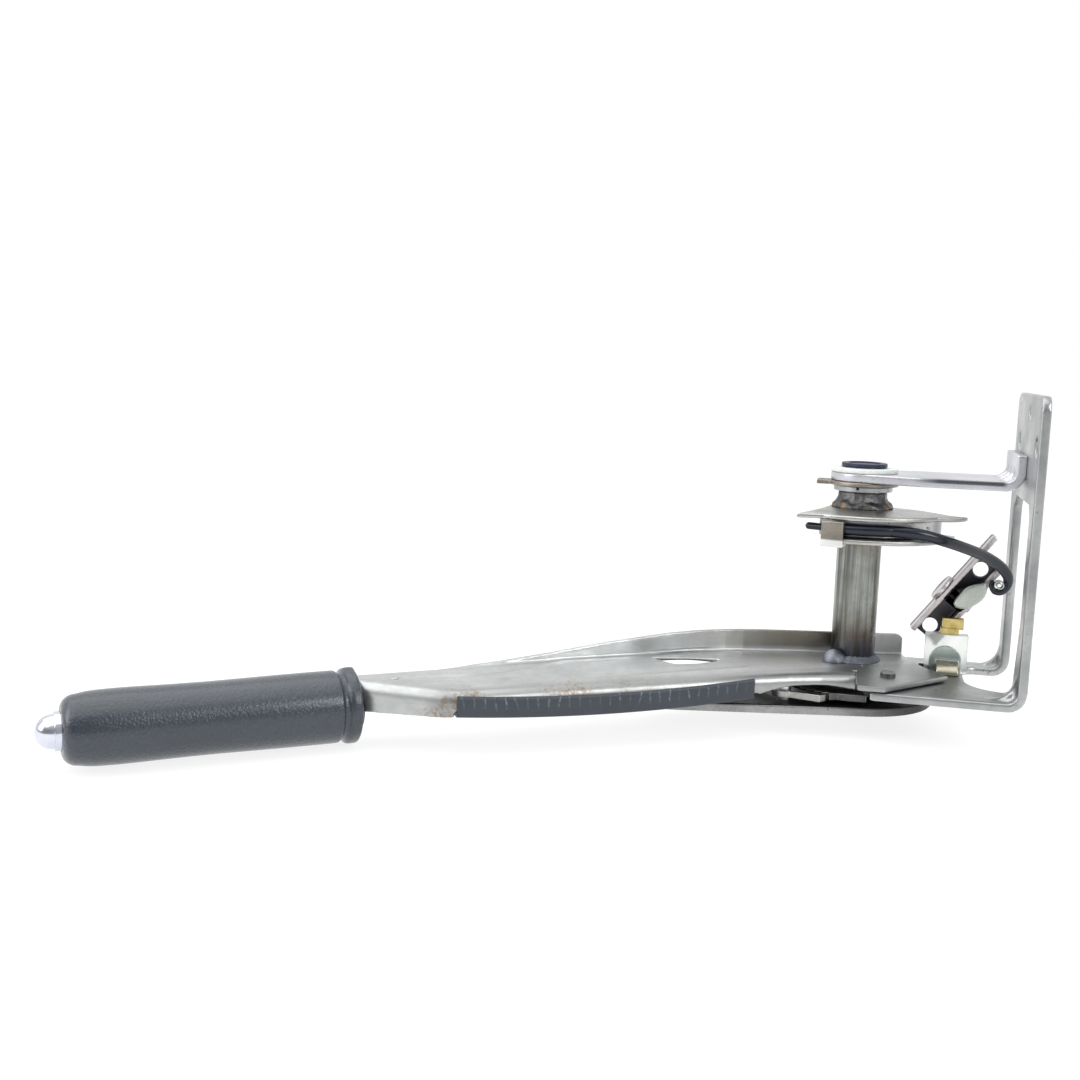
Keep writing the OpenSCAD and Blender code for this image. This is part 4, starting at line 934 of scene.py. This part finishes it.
print("grip", len(grip_mesh.vertices), "points")

# %% [markdown]
# The button, the shaft tube and its bush, collar and plug are all turned or drawn round, so the same helper
# makes them. A machinist breaks every sharp edge of such a part, so each corner of a profile is eased by a
# small round, and a ring is kept on each side of it, which keeps the flat faces flat in the shading.

# %% Turned parts of the shaft and the button
def eased(corners, radius):
    """A closed or open profile with each inner corner eased by a small round."""
    corners = [Vector(corner) for corner in corners]
    line = [corners[0]]
    for before, corner, after in zip(corners, corners[1:], corners[2:]):
        back, ahead = before - corner, after - corner
        small = min(radius, back.length / 4, ahead.length / 4)
        back, ahead = back.normalized() * small, ahead.normalized() * small
        line.append(corner + back * 1.8)
        line += [corner + back * (1 - t) ** 2 + ahead * t ** 2 for t in (0.0, 0.25, 0.5, 0.75, 1.0)]
        line.append(corner + ahead * 1.8)
    return [*line, corners[-1]]


ROUND_PARTS = [
    # name, solid, body, finish, rounding, corners as (radius, height above the pivot) in millimetres
    ("shaft_tube", "pivot_tube", "lever", drawn_tube, 0.4,
     [(8, -17), (10, -17), (10, 90.4), (7.5, 90.4), (7.5, -17), (8, -17)]),
    ("shaft_bush", "upper_bush", "bracket", nylon, 0.5,
     [(11, 84), (12.5, 84), (12.5, 88.05), (15.2, 88.05), (15.2, 90.15), (10.05, 90.15), (10.05, 84),
      (11, 84)]),
    ("shaft_collar", "bush_collar", "bracket", collar_zinc, 0.4,
     [(12, 79.4), (13.2, 79.4), (13.2, 81.9), (10.05, 81.9), (10.05, 79.4), (12, 79.4)]),
    ("shaft_plug", "tube_plug", "lever", blue_plastic, 0.5,
     [(0.01, 84.4), (7.45, 84.4), (7.45, 90.4), (10.3, 90.4), (10.3, 92.2), (7.5, 92.2), (7.5, 91.6),
      (0.01, 91.6)]),
]
for name, node, body, material, small, corners in ROUND_PARTS:
    mesh = turned(name, [tuple(p) for p in eased(corners, small)], from_pivot(0, 0, 0), Vector((0, 0, 1)))
    piece(name, mesh, body, material, node)
    print(name, len(mesh.vertices), "points")

DOME = 6.85
stem = eased([(0.01, -14), (7.75, -14), (7.75, 2.4), (DOME, 2.4), (DOME, 2.65)], 0.5)
dome = [(DOME * math.cos(a), 2.65 + DOME * math.sin(a))
        for a in [math.pi / 2 * i / 24 for i in range(1, 25)]]
button_mesh = turned("button_bullet", [tuple(p) for p in stem] + dome,
                     grip_end + grip_axis * GRIP_LONG / 1000, grip_axis)
piece("button_bullet", button_mesh, "button", chrome, "push_button")
print("button", len(button_mesh.vertices), "points")

# %% [markdown]
# The trim is a channel of PVC pushed over the lower edge of the near wall. Its edge is bowed, so the strip
# follows a large circle. One cross-section with round corners is swept along that arc in small steps, and
# every few steps a shallow dent, deeper at the top, is pressed in where the strip was strained: the same
# value goes in the attribute.

# %% Edge trim
BOW = 844.0
BOW_AT = 65.5
WALL_DROP = 11.2
TRIM_FROM, TRIM_TO = -2.5, 133.0
TRIM_STEPS = 440
MARK_PITCH = 4.6
MARK_WIDE, MARK_DEEP = 0.3, 0.3
trim_section = [(-4.15, -1.5), (-4.15, 3.0), (-3.4, 3.2), (-2.6, 3.0), (-2.55, -0.05), (0.05, -0.05),
                (0.05, 6.9), (0.3, 7.25), (0.9, 7.25), (1.35, 6.9), (1.55, 6.2), (1.65, 5.4), (1.7, 4.6),
                (1.72, 3.8), (1.72, 3.0), (1.72, 2.0), (1.7, 1.0), (1.66, 0.0), (1.55, -0.9), (1.25, -1.4),
                (0.6, -1.65), (-1.2, -1.68), (-3.2, -1.65), (-3.9, -1.6)]
shape = bmesh.new()
stress_layer = shape.verts.layers.float.new("stress")
rings = []
for i in range(TRIM_STEPS + 1):
    s = TRIM_FROM + (TRIM_TO - TRIM_FROM) * i / TRIM_STEPS
    floor_z = BOW - WALL_DROP - math.sqrt(BOW ** 2 - (s - BOW_AT) ** 2)
    number = round(s / MARK_PITCH)
    strength = max(0.0, min(1.0, 0.55 + 0.8 * noise.noise(Vector((number * 3.7, 0.5, 0.2)))))
    slant = 1.6 * noise.noise(Vector((number * 1.9, 4.1, 0.7)))
    curl = 0.5 * noise.noise(Vector((number * 2.3, 7.4, 1.6)))
    ring = []
    for out, rise in trim_section:
        offset = s - number * MARK_PITCH - slant * (rise - 4) * 0.3 - curl * (rise - 4) ** 2 * 0.15
        strained = max(0.0, min(1.0, (rise - 1.8) / 1.5)) if out > 1.2 else 0.0
        mark = strength * math.exp(-(offset / MARK_WIDE) ** 2) * strained
        point = shape.verts.new(edge_start + edge_along * s / 1000
                                + edge_out * (out - MARK_DEEP * mark) / 1000
                                + Vector((0, 0, floor_z + rise)) / 1000)
        point[stress_layer] = mark
        ring.append(point)
    rings.append(ring)
trim_mesh = skin_over("trim_strip", shape, rings)
piece("trim_strip", trim_mesh, "lever", pvc, "edge_trim")
print("trim", len(trim_mesh.vertices), "points")

# %% [markdown]
# The brake cable lies in the sector's groove, leaves it towards the equaliser, and curls round the clevis.
# It is two pieces: one lies in the groove, and the other runs from where it leaves the groove to its
# hook round the clevis. Neither is attached to a body, so both stay where they are built.

# %% Cable
def tube(name, points, radii_mm, sides=20):
    """Mesh of a round tube along points in the frame, with a radius for each point and closed ends."""
    shape = bmesh.new()
    rings = []
    side = None
    turns = [2 * math.pi * j / sides for j in range(sides)]
    for i, (point, radius) in enumerate(zip(points, radii_mm)):
        heading = (points[min(i + 1, len(points) - 1)] - points[max(i - 1, 0)]).normalized()
        side = (heading.orthogonal() if side is None else side - heading * side.dot(heading)).normalized()
        other = heading.cross(side)
        rings.append([shape.verts.new(point + (side * math.cos(a) + other * math.sin(a)) * radius / 1000)
                      for a in turns])
    return skin_over(name, shape, rings)


CABLE_R = 2.5
WRAP_R = 38.7
CABLE_Z = 65.5
wrap = [from_pivot(WRAP_R * math.cos(math.radians(a)), WRAP_R * math.sin(math.radians(a)), CABLE_Z)
        for a in range(-112, -70)]
wrap_mesh = tube("cable_in_groove", wrap, [CABLE_R] * len(wrap))
wrap_piece = piece("cable_in_groove", wrap_mesh, None, cable_skin, "cable_wrap")
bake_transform(wrap_piece)

RUN = [(12.5, -36.6, 65.5), (19.8, -35.6, 65.2), (27, -34, 64.2), (35, -30.2, 62.0), (44, -22, 58.6),
       (54, -11, 54), (62, -3.5, 48.8), (66.4, 0.4, 43.6), (66.6, 2.2, 39), (64.4, 2.4, 36.2),
       (61.6, 2.4, 36), (60, 2.4, 38.2), (60, 2.4, 41)]
run = smooth_line([from_pivot(*p) for p in RUN], 6)
ends = [min(CABLE_R, 0.9 + 0.05 * (len(run) - 1 - i)) for i in range(len(run))]
run_piece = piece("cable_to_equaliser", tube("cable_to_equaliser", run, ends), None, cable_skin,
                  "cable_run")
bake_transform(run_piece)
print("cable", len(wrap) + len(run), "rings")

# %% [markdown]
# The clevis is a paddle cut from 4 mm strip, with a lug behind it that hangs on the equaliser's pin. The
# lug is a soft copy of the solid without its front, dark grey with painted shade. The paddle's outline is a
# smooth loop through points measured on the photograph, and six loops from front to back, smaller towards
# both faces, give it rounded edges.

# %% Clevis
LUG_FROM = 4.6
PADDLE_X, PADDLE_Z = 45.5, 29.8

lug_mesh = soft_copy("equaliser_clevis", 0.4, 4)
shape = bmesh.new()
shape.from_mesh(lug_mesh)
front = [vertex for vertex in shape.verts if (vertex.co - pivot).y * 1000 < LUG_FROM]
bmesh.ops.delete(shape, geom=front, context="VERTS")
shape.to_mesh(lug_mesh)
shape.free()
lug = piece("clevis_lug", lug_mesh, "clevis", lug_steel_painted_shade)

PADDLE = [(-1.5, -1.0), (-0.4, 1.8), (3.4, 6.6), (6.4, 8.2), (9.6, 9.1), (12.0, 9.6), (12.6, 6.2),
          (11.6, 3.0), (9.6, 0.6), (6.6, -1.6), (2.6, -2.9), (-0.4, -2.6)]
loop = smooth_line([Vector(point) for point in PADDLE + PADDLE[:1]], 6)[:-1]
heart = sum(loop, Vector((0, 0))) / len(loop)
shape = bmesh.new()
rings = []
for inset, y in ((1.2, 1.2), (0.5, 1.3), (0.0, 1.9), (0.0, 4.5), (0.5, 5.1), (1.2, 5.2)):
    shrunk = [point - (point - heart).normalized() * inset for point in loop]
    rings.append([shape.verts.new(from_pivot(PADDLE_X + x, y, PADDLE_Z + z)) for x, z in shrunk])
paddle_mesh = skin_over("clevis_paddle", shape, rings)
piece("clevis_paddle", paddle_mesh, "clevis", green_zinc, "equaliser_clevis")
print("clevis", len(paddle_mesh.vertices) + len(lug_mesh.vertices), "points")

# %% [markdown]
# The clevis ends in an eye: its strip is rolled up in a small spiral inside the cable's hook. The spiral is
# a strip 0.5 mm thick and 4 mm wide whose radius shrinks over one and a half turns.

# %% Rolled eye
ROLL_STEPS = 60
ROLL_R = 2.5
STRIP_THICK = 0.5
STRIP_HALF = 2.0

roll_middle = from_pivot(63.3, 2.4, 39.0)
shape = bmesh.new()
rings = []
for i in range(ROLL_STEPS + 1):
    turn = math.radians(200 - 9 * i)
    radius = ROLL_R - 0.025 * i
    across = Vector((math.cos(turn), 0, math.sin(turn)))
    corners = [(radius, -STRIP_HALF), (radius, STRIP_HALF), (radius - STRIP_THICK, STRIP_HALF),
               (radius - STRIP_THICK, -STRIP_HALF)]
    rings.append([shape.verts.new(roll_middle + (across * r + Vector((0, y, 0))) / 1000)
                  for r, y in corners])
eye_mesh = skin_over("rolled_eye", shape, rings)
eye = piece("rolled_eye", eye_mesh, "clevis", green_zinc)
for face in eye_mesh.polygons:
    face.use_smooth = False
print("eye", len(eye_mesh.vertices), "points")
